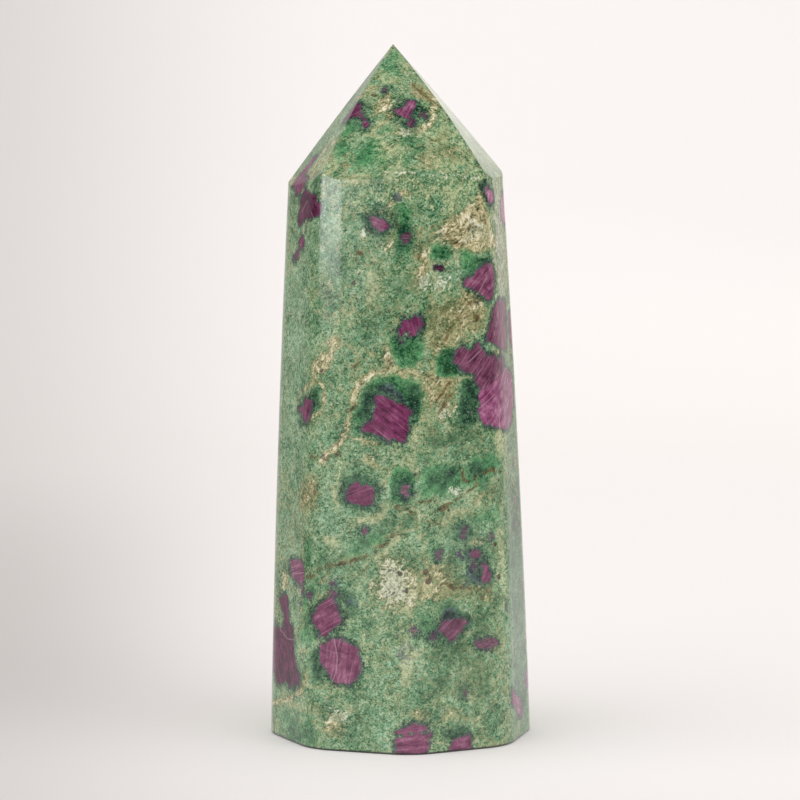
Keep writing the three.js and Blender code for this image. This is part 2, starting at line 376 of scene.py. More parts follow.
    Ruby(0.5, 0.6, 0.5, 10, ((22, 0), (23, 1.5), (25, 2.7), (29, 3.4), (32.4, 3.8), (33.8, 2.4), (33.8, -1),
        (28, -3), (22.5, -1))),
    Ruby(0.42, 0.35, 0.7, 40, ((18.3, 29.9), (20, 31.3), (23.4, 31.7), (27.6, 31.7), (31, 32.2), (32.8, 31),
        (29.7, 29.4), (27.6, 27.9), (25.5, 27), (22.8, 27.2), (19.3, 28.6)), 0.9),
    Ruby(0.5, 0.2, 0.4, 10, ((36.6, 26.1), (39.3, 26.3), (44.1, 26.8), (47.6, 26.3), (48.3, 25.1),
        (44.8, 23.7), (41.4, 24.1), (37.9, 24.8)), 0.8),
    Ruby(0.35, 0.5, 0.6, 0, ((30.3, 53.7), (33.8, 53.7), (33.8, 52.3), (32.4, 50.9), (30.3, 50.9)), 0.8),
    Ruby(0.4, 0.5, 0.5, 60, ((17.2, 48.2), (20, 48.9), (21, 47.1), (19.3, 45.8), (17.9, 46.8)), 0.8),
    Ruby(0.5, 0.6, 0.5, 30, ((33.8, 46.8), (36.6, 48.5), (39.3, 47.8), (38.6, 46.4), (36.6, 45.8)), 0.85),
    Ruby(0.45, 0.65, 0.6, 60, ((40.7, 42.3), (40.7, 44.7), (42.8, 45.4), (44.1, 44), (45.5, 42.3),
        (44.8, 40.6), (41.4, 40.2)), 0.95),
    Ruby(0.4, 0.2, 0.4, 0, ((44.8, 51), (46.9, 52), (47.6, 50.6), (46, 50.2)), 0.55),
    Ruby(0.4, 0.5, 0.3, 0, ((28.7, 47.3), (30, 48), (31.3, 47.3), (30, 46.5)), 0.6),
    Ruby(0.4, 0.5, 0.4, 0, ((34.9, 43.8), (36.5, 44.8), (38.1, 43.8), (36.5, 42.8)), 0.6),
    Ruby(0.4, 0.1, 0.4, 0, ((5, 29.6), (6.9, 30.8), (8.8, 29.6), (6.9, 28.4)), 0.65),
    Ruby(0.3, 0.3, 0.5, 0, ((13.9, 27.7), (15.5, 28.7), (17.1, 27.7), (15.5, 26.7)), 0.6),
    Ruby(0.4, 0.5, 0.6, 0, ((29.7, 14), (31, 14.8), (32.3, 14), (31, 13.2)), 0.55),
    Ruby(0.55, 0.6, 0.5, -15, ((57.9, 9.6), (57.9, 12), (60.7, 12.7), (64.8, 11.3), (69.7, 10.3), (74.5, 8.9),
        (75.9, 6.8), (74.5, 5.1), (71, 5.1), (67.6, 6.5), (64.8, 8.2), (60.7, 8.7))),
    Ruby(0.6, 0.4, 0.3, 0, ((83, 11.3), (83.5, 15), (89, 15.4), (89, 11.8))),
)

# A zone of another colour, with a soft mottled edge. strength is how much of it shows, and softness is how
# far its edge is spread, in millimetres. The zones of each kind, and the veins, run from the top down.
Zone = namedtuple("Zone", "kind strength softness outline")
ZONES = (
    # Pale yellowish green.
    Zone("pale", 0.6, 1.2, ((-40, 158), (-30, 164), (0, 163), (20, 161), (14, 158), (-6, 160), (-22, 160))),
    Zone("pale", 0.75, 3.0, ((14, 138.5), (20, 147), (34, 150), (48, 154), (50, 138))),
    Zone("pale", 0.5, 2.0, ((-22, 139), (-24, 146), (-14, 148), (2, 147), (6, 139))),
    Zone("pale", 0.9, 1.0, ((-62, 138.5), (-60, 146.5), (-48, 147.5), (-41, 146), (-41, 139.5))),
    Zone("pale", 0.8, 3.5, ((70, 110), (70, 132), (78, 140), (86, 136), (92, 122), (90, 110), (82, 104))),
    Zone("pale", 1.3, 1.5, ((54, 109), (56, 113), (55, 121), (56, 128), (60, 131), (64, 137), (72, 136),
        (76, 126), (80, 114), (78, 107), (74, 109))),
    Zone("pale", 0.75, 2.5, ((8, 132), (6, 136), (46, 136.5), (44, 132), (28, 130))),
    Zone("pale", 0.5, 2.5, ((-26, 130), (-24, 136), (-4, 136), (-4, 132), (-14, 131))),
    Zone("pale", 0.9, 0.6, ((-48, 86.5), (-46, 89.8), (-42, 90), (-40.5, 88), (-43, 86.5))),
    Zone("pale", 0.95, 1.0, ((52, 70), (52, 77), (62, 77), (66, 72), (60, 69.5))),
    Zone("pale", 0.4, 3.0, ((60, 48), (60, 66), (78, 68), (92, 60), (92, 46))),
    Zone("pale", 0.6, 1.0, ((52, 36), (51.5, 48), (56, 49), (57, 36))),
    # Emerald.
    Zone("emerald", 0.6, 1.5, ((-30, 163), (-10, 168), (20, 165), (10, 162), (-15, 161.5))),
    Zone("emerald", 0.8, 0.8, ((-41, 147), (-41, 150.8), (-36, 151.3), (-30, 149), (-33, 146.6))),
    Zone("emerald", 0.5, 1.0, ((-14, 147.5), (-13, 149.6), (-2, 149.4), (1, 147.6))),
    Zone("emerald", 0.5, 1.5, ((4, 139.5), (6, 147), (14, 147.5), (22, 146), (18, 142), (10, 139.5))),
    Zone("emerald", 0.9, 1.2, ((-26, 138.6), (-27, 142), (-22, 146), (-14, 145.6), (-9, 142.6),
        (-14, 139.6))),
    Zone("emerald", 0.8, 1.0, ((-42, 142.6), (-42, 145.6), (-34, 145.5), (-30, 143.5), (-34, 141))),
    Zone("emerald", 0.6, 1.6, ((-30, 139.5), (-28, 145), (-18, 143.5), (-8, 143), (0, 141), (-6, 138.5),
        (-20, 138.5))),
    Zone("emerald", 0.9, 1.0, ((0, 119.5), (-1, 127.5), (1, 130.5), (5, 131), (8, 129), (9, 121),
        (6, 118.5))),
    Zone("emerald", 1.1, 0.8, ((17, 118), (17.5, 120.5), (22, 121.3), (28, 120.8), (29.5, 118.5),
        (24, 117.4))),
    Zone("emerald", 0.75, 0.8, ((35, 117), (35, 120), (39, 120), (46, 118.5), (54, 119), (57, 117.5),
        (52, 117), (45, 115.7), (38, 113), (36, 112))),
    Zone("emerald", 0.7, 1.2, ((58, 112), (58, 107), (63, 106), (62, 111))),
    Zone("emerald", 0.75, 1.0, ((-44, 107), (-41, 109.5), (-39, 107.5), (-42, 106))),
    Zone("emerald", 0.7, 0.8, ((-29.5, 101), (-28, 103.2), (-26.5, 102), (-28, 100.6))),
    Zone("emerald", 1.1, 0.8, ((-3, 100), (2, 98.5), (6, 99.5), (12, 99.5), (14, 97), (12, 94), (7, 92.3),
        (2, 92.5), (-2, 94.5))),
    Zone("emerald", 1.5, 0.6, ((19.5, 90.5), (20, 94), (23, 96.2), (29, 96.4), (31, 94.5), (29, 92),
        (32, 90.5), (28, 90), (23, 89.8))),
    Zone("emerald", 1.1, 1.0, ((-20, 76), (-22, 80), (-19, 84), (-15, 88), (-10, 90), (0, 90.3), (9, 89.3),
        (13, 86), (12, 82), (8, 79.5), (6, 83), (-2, 86), (-11, 86), (-13, 82), (-15, 79.5), (-19, 78))),
    Zone("emerald", 1.1, 1.3, ((33, 64), (33, 68.5), (38, 70.5), (53, 70), (54, 67.8), (47, 66), (42, 63))),
    Zone("emerald", 1.2, 1.4, ((11, 62), (12, 67), (18, 69), (26, 69.5), (32, 68), (33, 64), (28, 62.8),
        (20, 61.8))),
    Zone("emerald", 0.62, 1.4, ((-26, 58), (-28, 63), (-25, 66.5), (-19, 68.5), (-11, 67.5), (-8, 63),
        (-9, 58.5), (-16, 57))),
    Zone("emerald", 1.15, 0.7, ((-3, 60.5), (-3.5, 65), (-1, 68.3), (4, 68.5), (7, 66.5), (7.5, 63),
        (6, 60.5), (2, 60))),
    Zone("emerald", 0.65, 1.5, ((36, 55), (38, 57.5), (50, 58), (52, 54.5), (46, 52.5))),
    Zone("emerald", 0.75, 1.5, ((-25, 47), (-24, 52), (-14, 54), (-4, 52.5), (-8, 49.5), (-18, 47))),
    Zone("emerald", 0.7, 1.0, ((15, 45), (13, 49), (17, 51), (21, 50), (22, 46.5))),
    Zone("emerald", 0.85, 0.8, ((-47.5, 43), (-48, 50), (-43.5, 50.5), (-41.5, 44))),
    Zone("emerald", 0.8, 1.5, ((-50, 25), (-49, 36), (-44, 42), (-40, 38), (-42.5, 31), (-41, 26))),
    Zone("emerald", 0.5, 2.0, ((5, 31), (8, 36), (17, 36.5), (18, 32), (16, 28), (10, 27))),
    Zone("emerald", 0.55, 2.0, ((-72, 1), (-70, 7), (-40, 8), (-38, 2))),
    # Dark green.
    Zone("dark", 0.9, 0.5, ((-37, 147.8), (-35, 149.6), (-31, 149), (-32, 147.6))),
    Zone("dark", 0.6, 0.8, ((7.5, 140), (8, 147.5), (12, 148), (14, 144.5), (12, 140.5))),
    Zone("dark", 0.7, 0.6, ((15, 144), (17, 146.5), (21, 146.5), (21, 144.5))),
    Zone("dark", 0.8, 0.6, ((-41, 144), (-39, 146), (-35, 145.4), (-36, 143.8))),
    Zone("dark", 0.8, 0.8, ((-51, 135), (-50, 138), (-42, 138), (-42, 133.5), (-48, 133))),
    Zone("dark", 0.7, 0.5, ((-57, 123), (-56, 126), (-53, 125.8), (-53.5, 123))),
    Zone("dark", 0.7, 0.8, ((13.5, 120), (15, 123), (21, 125), (26, 125.4), (28, 122.4), (20, 121.4))),
    Zone("dark", 0.6, 0.6, ((48, 123), (50, 125), (53, 124), (51, 122))),
    Zone("dark", 0.8, 0.8, ((50, 117), (52, 119), (55, 118.5), (55, 117))),
    Zone("dark", 0.48, 3.0, ((-6, 103), (-8, 117), (12, 119), (14, 104))),
    Zone("dark", 0.85, 0.8, ((38, 113), (40, 115.5), (46, 117.5), (46, 115.8), (41, 113.6))),
    Zone("dark", 0.8, 0.5, ((-48.2, 114.5), (-47, 115.8), (-45.8, 114.5), (-47, 113.2))),
    Zone("dark", 0.8, 0.5, ((-20.4, 113), (-19, 114.2), (-17.6, 113), (-19, 112))),
    Zone("dark", 0.8, 0.5, ((-55, 107.5), (-54, 109.5), (-52.8, 107.5), (-54, 106))),
    Zone("dark", 0.7, 0.6, ((-26.4, 106), (-25, 107.2), (-23.6, 106), (-25, 105))),
    Zone("dark", 0.8, 0.5, ((-62.5, 102.3), (-61.5, 104), (-60.2, 102.3), (-61.5, 101))),
    Zone("dark", 1.05, 0.8, ((3, 87), (6, 89), (11, 88.5), (12.5, 86), (12, 83), (9, 80.5), (6.5, 80),
        (6, 82.5), (4, 84))),
    Zone("dark", 0.95, 0.8, ((-12, 86), (-10, 88.7), (-5, 88.6), (-3, 86), (-10, 84.6))),
    Zone("dark", 1.1, 0.7, ((31, 78), (30.5, 81), (32, 86), (34, 88.5), (38, 88.5), (41, 86.5), (41, 79),
        (37, 77.5))),
    Zone("dark", 1.0, 0.8, ((-20, 81), (-18.5, 85), (-15.5, 87.5), (-12, 87), (-11.5, 84), (-12.5, 81),
        (-18, 79))),
    Zone("dark", 0.95, 0.8, ((-46, 84.3), (-44, 87), (-39.5, 86.5), (-39.5, 82.5), (-43.5, 81.5))),
    Zone("dark", 0.8, 0.8, ((-59, 78.5), (-54, 79.8), (-51, 77.3), (-56, 76.3))),
    Zone("dark", 0.66, 3.0, ((12, 70), (14, 77), (30, 79), (46, 77), (48, 72), (30, 70))),
    Zone("dark", 0.9, 0.5, ((35, 67.3), (36, 69.6), (40, 69.2), (39, 66.8))),
    Zone("dark", 0.75, 1.0, ((34, 66.5), (34, 69.5), (44, 69), (46, 67), (40, 65.5))),
    Zone("dark", 0.8, 1.0, ((14, 63.5), (13.5, 66.5), (20, 68.5), (30, 69), (31, 66.5), (24, 63.5))),
    Zone("dark", 1.1, 0.5, ((25, 65.5), (25, 68.3), (28.5, 68.6), (29, 66))),
    Zone("dark", 0.6, 1.0, ((-24, 65), (-20, 68.5), (-12, 68), (-9, 65.5), (-13, 64.3))),
    Zone("dark", 1.0, 0.6, ((22, 65.5), (23.5, 68.5), (27.5, 68), (27, 65), (24.5, 64.5))),
    Zone("dark", 1.0, 0.5, ((13.5, 64.5), (15, 67.3), (18.2, 66.8), (16.5, 64))),
    Zone("dark", 0.6, 1.0, ((50, 60), (50.5, 66), (56, 67), (58, 62), (54, 59.5))),
    Zone("dark", 0.8, 0.8, ((13, 63), (14.5, 66.5), (18, 66.5), (19, 63.5))),
    Zone("dark", 0.75, 0.8, ((41, 62), (42, 66), (46.5, 65.5), (46.5, 62))),
    Zone("dark", 0.66, 3.0, ((58, 2), (57, 30), (60, 62), (72, 66), (92, 60), (92, 2))),
    Zone("dark", 0.9, 0.5, ((19, 62.6), (20, 64.8), (23.5, 64.4), (23, 62.4))),
    Zone("dark", 0.7, 0.6, ((1, 54), (2, 57), (8, 58), (8, 54.5))),
    Zone("dark", 0.58, 2.0, ((24, 38), (20, 44), (22, 52), (28, 56), (40, 55.5), (48, 52), (48, 44),
        (44, 38.5), (34, 37))),
    Zone("dark", 0.7, 0.6, ((-12, 51.5), (-10, 55), (-5, 56), (-6, 52.5))),
    Zone("dark", 0.8, 0.6, ((-20, 48), (-18, 51), (-13, 51.5), (-14, 49))),
    Zone("dark", 0.5, 2.0, ((-40, 37), (-44, 43), (-40, 49), (-30, 48.5), (-18, 47), (-20, 42), (-26, 39.5),
        (-34, 39.5))),
    Zone("dark", 0.7, 0.6, ((-44, 47), (-43, 49), (-40, 48.6), (-41, 46.8))),
    Zone("dark", 0.8, 0.6, ((-30, 45.8), (-29, 48), (-24, 48.4), (-25, 46))),
    Zone("dark", 0.8, 0.6, ((-40, 44.5), (-39, 47), (-34, 47), (-34, 45))),
    Zone("dark", 0.8, 1.0, ((-30, 36), (-29.5, 38.5), (-25, 40), (-19, 38), (-18, 34), (-22, 32.3),
        (-27, 33.3))),
    Zone("dark", 0.56, 4.0, ((8, 8), (10, 26), (14, 36), (30, 38), (50, 33), (51, 4), (36, 9), (22, 12))),
    Zone("dark", 0.95, 1.0, ((17.5, 31), (19, 35), (22, 36), (27, 36.3), (30.5, 34.5), (31, 32.2),
        (25, 31.8))),
    Zone("dark", 0.85, 1.0, ((-43, 16.5), (-43, 24), (-37.5, 24.5), (-34.5, 19.5), (-36.5, 16))),
    Zone("dark", 0.8, 0.5, ((7.5, 15), (8.5, 17.5), (10.5, 17.3), (11, 14.8), (9.5, 14))),
    Zone("dark", 0.6, 0.8, ((26, 13), (27, 16.3), (33, 16), (34.5, 13.6), (30, 12))),
    Zone("dark", 0.5, 1.5, ((44, 2), (45, 8), (50, 8), (51, 2))),
    Zone("dark", 0.95, 0.8, ((18.5, 3.5), (20.5, 6.6), (27, 7), (33, 6), (35, 3.8), (33, 2.6), (25, 2.6))),
    Zone("dark", 0.6, 1.0, ((-64, -2), (-64, 5), (-52, 7), (-40, 6), (-36, -2))),
    # Grey-blue.
    Zone("blue", 0.9, 0.5, ((3, 155), (3, 156), (7, 157), (8, 155.5))),
    Zone("blue", 0.9, 0.5, ((-44.5, 134.8), (-44, 136.7), (-41, 137), (-41, 134.8))),
    Zone("blue", 0.8, 0.4, ((49, 133.6), (50, 135.8), (51.5, 136.2), (51, 134))),
    Zone("blue", 1.0, 0.5, ((-2.2, 132.5), (0.5, 133.2), (3, 132.6), (3.3, 131.5), (0.5, 130.9),
        (-1.8, 131.2))),
    Zone("blue", 0.8, 0.4, ((0, 102.5), (3, 104.5), (8, 105.5), (12.5, 105), (12.5, 103.5), (8, 104.6),
        (3, 103))),
    Zone("blue", 0.95, 0.6, ((-9, 86.3), (-6, 88.3), (-2, 88), (2, 86), (5, 82.8), (1, 84), (-5, 85.4))),
    Zone("blue", 0.5, 0.8, ((-22, 76.5), (-22, 80), (-18, 80), (-15.5, 78.3), (-18, 76.2))),
    Zone("blue", 0.5, 1.5, ((29, 38), (28, 46), (33, 49), (41, 49), (46, 44), (44, 39))),
    Zone("blue", 0.8, 0.5, ((30, 43.2), (30, 44.7), (40.5, 41), (40.5, 39.4))),
    Zone("blue", 0.6, 1.0, ((-28, 34), (-28, 37.5), (-20, 38), (-18, 34))),
    Zone("blue", 0.75, 0.5, ((52.5, 33), (54.5, 36), (57, 34.5), (57.5, 32), (54, 32))),
    Zone("blue", 0.8, 0.5, ((-52.8, 33.9), (-52, 35.4), (-49.4, 35.2), (-48.6, 33.7))),
    Zone("blue", 0.8, 0.5, ((19, 31), (20, 34), (26, 35), (29, 33), (27, 31.5))),
    Zone("blue", 0.6, 1.0, ((-2, 22.5), (-2, 26), (4, 27.5), (8, 25.5), (7, 22.5), (3, 21.5))),
    Zone("blue", 0.8, 0.5, ((18.5, 9), (19, 11), (21, 10.5), (20.5, 8.6))),
    # Pale teal.
    Zone("teal", 0.68, 3.0, ((-28, 130), (-26, 136.5), (-4, 136.5), (-4, 130))),
    Zone("teal", 0.6, 1.2, ((10, 126), (3, 128), (2, 125), (6, 124), (12, 124))),
    Zone("teal", 0.7, 4.0, ((-82, 70), (-82, 118), (-50, 122), (-46, 90), (-50, 70))),
    Zone("teal", 0.7, 1.2, ((26, 110.5), (27, 117.5), (31, 120), (35, 119.5), (37, 116), (34, 111))),
    Zone("teal", 0.7, 0.8, ((42, 99), (44, 101), (47, 99.5), (48, 96.5), (44, 96.5))),
    Zone("teal", 0.85, 0.8, ((44, 94), (44, 96.5), (52, 97.4), (57, 97.6), (57, 95.6), (51, 95.4))),
    Zone("teal", 0.5, 2.0, ((-20, 70), (-22, 74), (-12, 73.5), (-2, 73), (-4, 69.5))),
    Zone("teal", 0.66, 3.0, ((-44, 48), (-46, 66), (-30, 68), (-24, 56), (-26, 48))),
    Zone("teal", 0.7, 0.8, ((47, 60), (47, 63), (51, 63), (51, 59.5))),
    Zone("teal", 0.7, 0.6, ((36, 26.6), (38, 28), (47, 28), (49, 26.4), (44, 27.2))),
    # Olive brown ground.
    Zone("olive", 0.5, 2.5, ((14, 140), (18, 146), (34, 148), (48, 150), (50, 140), (30, 139))),
    Zone("olive", 0.7, 1.5, ((5, 112), (8, 123), (12, 127), (16, 123), (13, 118), (10, 112), (10, 106))),
    Zone("olive", 0.5, 2.0, ((-24, 118), (-22, 123), (-8, 121), (-10, 116))),
    Zone("olive", 1.1, 2.0, ((14, 96), (13, 103), (20, 106.5), (28, 107), (34, 111), (46, 108), (48, 104),
        (40, 101), (28, 98.5), (20, 95.5))),
    Zone("olive", 0.5, 2.0, ((-27, 86), (-26, 97), (-17, 98), (-8, 95), (-17, 91), (-22, 88))),
    Zone("olive", 1.1, 1.0, ((12, 86), (12.5, 90.5), (19, 91.5), (18, 84), (19, 90.5), (26, 91.5),
        (30, 89), (29, 85), (24, 83.5))),
    Zone("olive", 0.55, 3.0, ((12, 70), (14, 77), (30, 79), (46, 77), (48, 72), (30, 70))),
    Zone("olive", 0.6, 2.5, ((10, 52), (10, 56), (30, 61), (40, 64), (54, 66), (54, 60), (30, 55))),
    Zone("olive", 0.75, 1.0, ((-56, 57), (-56, 62), (-48, 65.5), (-40, 66), (-38, 62), (-40, 57))),
    Zone("olive", 0.55, 1.6, ((-46, 40), (-46, 44), (-30, 47.5), (-12, 51), (4, 59), (9, 60), (9, 56),
        (0, 51), (-8, 47.5), (-24, 43.5))),
    Zone("olive", 0.7, 1.5, ((5, 38), (12, 47), (24, 46), (34, 41), (46, 38), (48, 34), (30, 36), (14, 36))),
    Zone("olive", 0.5, 4.0, ((12, 10), (14, 28), (30, 34), (48, 32), (50, 8))),
    Zone("olive", 0.65, 2.0, ((28, 16), (27, 22), (34, 24), (44, 21), (46, 14), (38, 12))),
    # Cream mica.
    Zone("cream", 0.85, 0.8, ((-20, 152), (-19, 156.5), (-8, 157), (-3, 154.5), (-4, 151.5), (-12, 152.5))),
    Zone("cream", 0.65, 0.8, ((13, 139), (13.5, 142.5), (19, 143), (24, 141.5), (22, 139))),
    Zone("cream", 0.7, 0.7, ((-60, 137), (-60, 138.4), (-48, 139), (-48, 137.6))),
    Zone("cream", 1.25, 0.8, ((14, 118), (16.5, 122), (21, 124.5), (26, 126), (34.5, 128), (41, 129.8),
        (46, 131.5), (48.5, 133.5), (50, 130.5), (52.5, 129), (54, 126), (59, 122.8), (64, 121), (53, 120.3),
        (46, 119.6), (37, 120.2), (31.5, 120.6), (29.5, 122), (25.5, 121.8), (21, 122.5), (17.5, 119.5),
        (15, 115.5), (12.5, 112), (10.5, 111.5), (11.5, 116))),
    Zone("cream", 0.6, 0.7, ((-5, 120.5), (-4, 124), (0, 125), (1.5, 122), (-2, 120))),
    Zone("cream", 0.64, 1.2, ((27, 104), (30, 108), (36, 110), (43, 109.5), (46, 106), (48.5, 104),
        (46, 101.5), (39, 99.5), (33, 98.5), (27, 96.6), (21, 95.8), (20.5, 97), (26, 99.5), (30, 101.5))),
    Zone("cream", 0.95, 0.6, ((-45.2, 91.2), (-44.5, 92.9), (-39, 94.7), (-35.5, 95.3), (-34.8, 97.8),
        (-32.4, 99.1), (-29.3, 97.8), (-32.8, 94.7), (-34.8, 92.2), (-38.3, 90.2), (-41.7, 90.5),
        (-43.8, 89.1))),
    Zone("cream", 0.8, 0.7, ((-6.5, 96.5), (-3.5, 97), (-2, 94), (-1.5, 92.5), (-6, 93))),
    Zone("cream", 0.65, 0.8, ((2, 88.5), (1, 91.5), (8, 92), (12, 90.5), (11, 88.2), (6, 87.8))),
    Zone("cream", 0.48, 1.0, ((11, 86), (11.5, 90), (16, 91), (25, 91.7), (29.5, 90.5), (30.5, 87), (30, 82),
        (28, 80), (22, 80.3), (20, 82.5), (16, 83.5), (13, 80.5), (12.2, 83))),
    Zone("cream", 0.8, 0.5, ((-14.5, 69.5), (-14.5, 71.3), (-11, 70.6), (-9.5, 68.5), (-11.5, 68))),
    Zone("cream", 0.6, 0.8, ((-49, 58), (-50, 60.5), (-45, 63.5), (-42, 65), (-41, 62), (-45, 59.5))),
    Zone("cream", 0.8, 0.5, ((35, 49.5), (35, 50.8), (41.5, 50.8), (42, 49.4))),
    Zone("cream", 0.75, 1.5, ((-11, 38), (-9, 43), (-6, 46.5), (6, 45), (9, 42), (9, 38), (5, 35.5),
        (-5, 35))),
    Zone("cream", 0.55, 1.2, ((9, 36.5), (10, 46), (18, 45), (24, 41), (36, 40), (46, 38.5), (45, 36.8),
        (28, 38.3), (18, 37))),
    Zone("cream", 0.7, 0.8, ((-73, 37), (-72, 41), (-66, 41), (-65, 37))),
    Zone("cream", 0.5, 1.0, ((-50, 29), (-50, 33), (-45, 33), (-45, 29))),
    Zone("cream", 0.6, 1.0, ((28, 17), (28, 20), (33, 21.5), (36, 19.5), (34, 17.3))),
    Zone("cream", 0.65, 0.8, ((6, 7.2), (6, 10.3), (10, 10.6), (10.4, 8))),
    Zone("cream", 0.75, 0.8, ((19.5, 7.5), (21, 10.4), (28, 10.4), (30, 7.6), (28, 8.4), (22, 8.4))),
    Zone("cream", 0.7, 1.2, ((-34, 4.6), (-33, 8), (-30, 8.6), (-27, 6.6), (-28, 4.2))),
    # White.
    Zone("white", 0.85, 0.4, ((4.5, 147), (5, 148.6), (11, 148.6), (10.5, 147.2))),
    Zone("white", 0.48, 2.0, ((58, 110), (58, 128), (64, 136), (74, 134), (78, 118), (76, 108))),
    Zone("white", 0.5, 0.8, ((36, 122), (42, 126.5), (49, 127), (51, 124), (44, 122))),
    Zone("white", 0.9, 0.35, ((-18, 123.4), (-17, 124.6), (-15.8, 123.6), (-17, 122.9))),
    Zone("white", 0.9, 0.5, ((11.5, 111), (12, 113.3), (15.5, 114.2), (17.5, 113.5), (16.5, 111.2),
        (13.5, 110.5))),
    Zone("white", 0.6, 0.7, ((18, 111), (19.5, 114), (27, 114), (27.5, 111.5), (23, 110))),
    Zone("white", 0.75, 0.5, ((20, 80.2), (21, 82), (29, 82), (29.5, 80.4))),
    Zone("white", 0.6, 0.5, ((25.5, 61.3), (25.5, 63.3), (29, 63.9), (32, 63), (31, 61.4))),
    Zone("white", 0.9, 1.4, ((-9, 39), (-8, 43), (-4, 45.5), (2, 44.5), (5, 41), (4, 37), (-4, 36.5))),
    Zone("white", 1.1, 0.5, ((-32, 7.8), (-31, 10.6), (-29, 9.6), (-25, 9.2), (-25.5, 7.4))),
    # Tan.
    Zone("tan", 0.6, 1.2, ((-40, 156), (-34, 163), (-20, 161), (-22, 157))),
    Zone("tan", 0.85, 0.8, ((24, 157), (30, 160.5), (44, 159.5), (50, 157.5), (50, 154), (42, 154.5),
        (32, 155.5))),
    Zone("tan", 0.7, 0.8, ((29, 141.5), (30, 143.5), (37, 143.5), (38, 141.5))),
    Zone("tan", 0.6, 1.2, ((-78, 113), (-78, 125), (-74, 125), (-74, 113))),
    Zone("tan", 0.5, 1.5, ((12, 118), (16, 121), (28, 124), (26, 120), (18, 116))),
    Zone("tan", 0.6, 1.0, ((60, 119.5), (60, 124), (70, 124), (74, 119))),
    Zone("tan", 0.7, 0.8, ((10, 110.5), (9.5, 114), (12, 118), (15, 119.5), (14, 115))),
    Zone("tan", 0.6, 0.6, ((53, 60), (53, 62.5), (56.5, 62), (56, 59.8))),
    Zone("tan", 0.65, 0.8, ((-81, 30), (-81, 32), (-76, 32), (-76, 30))),
)

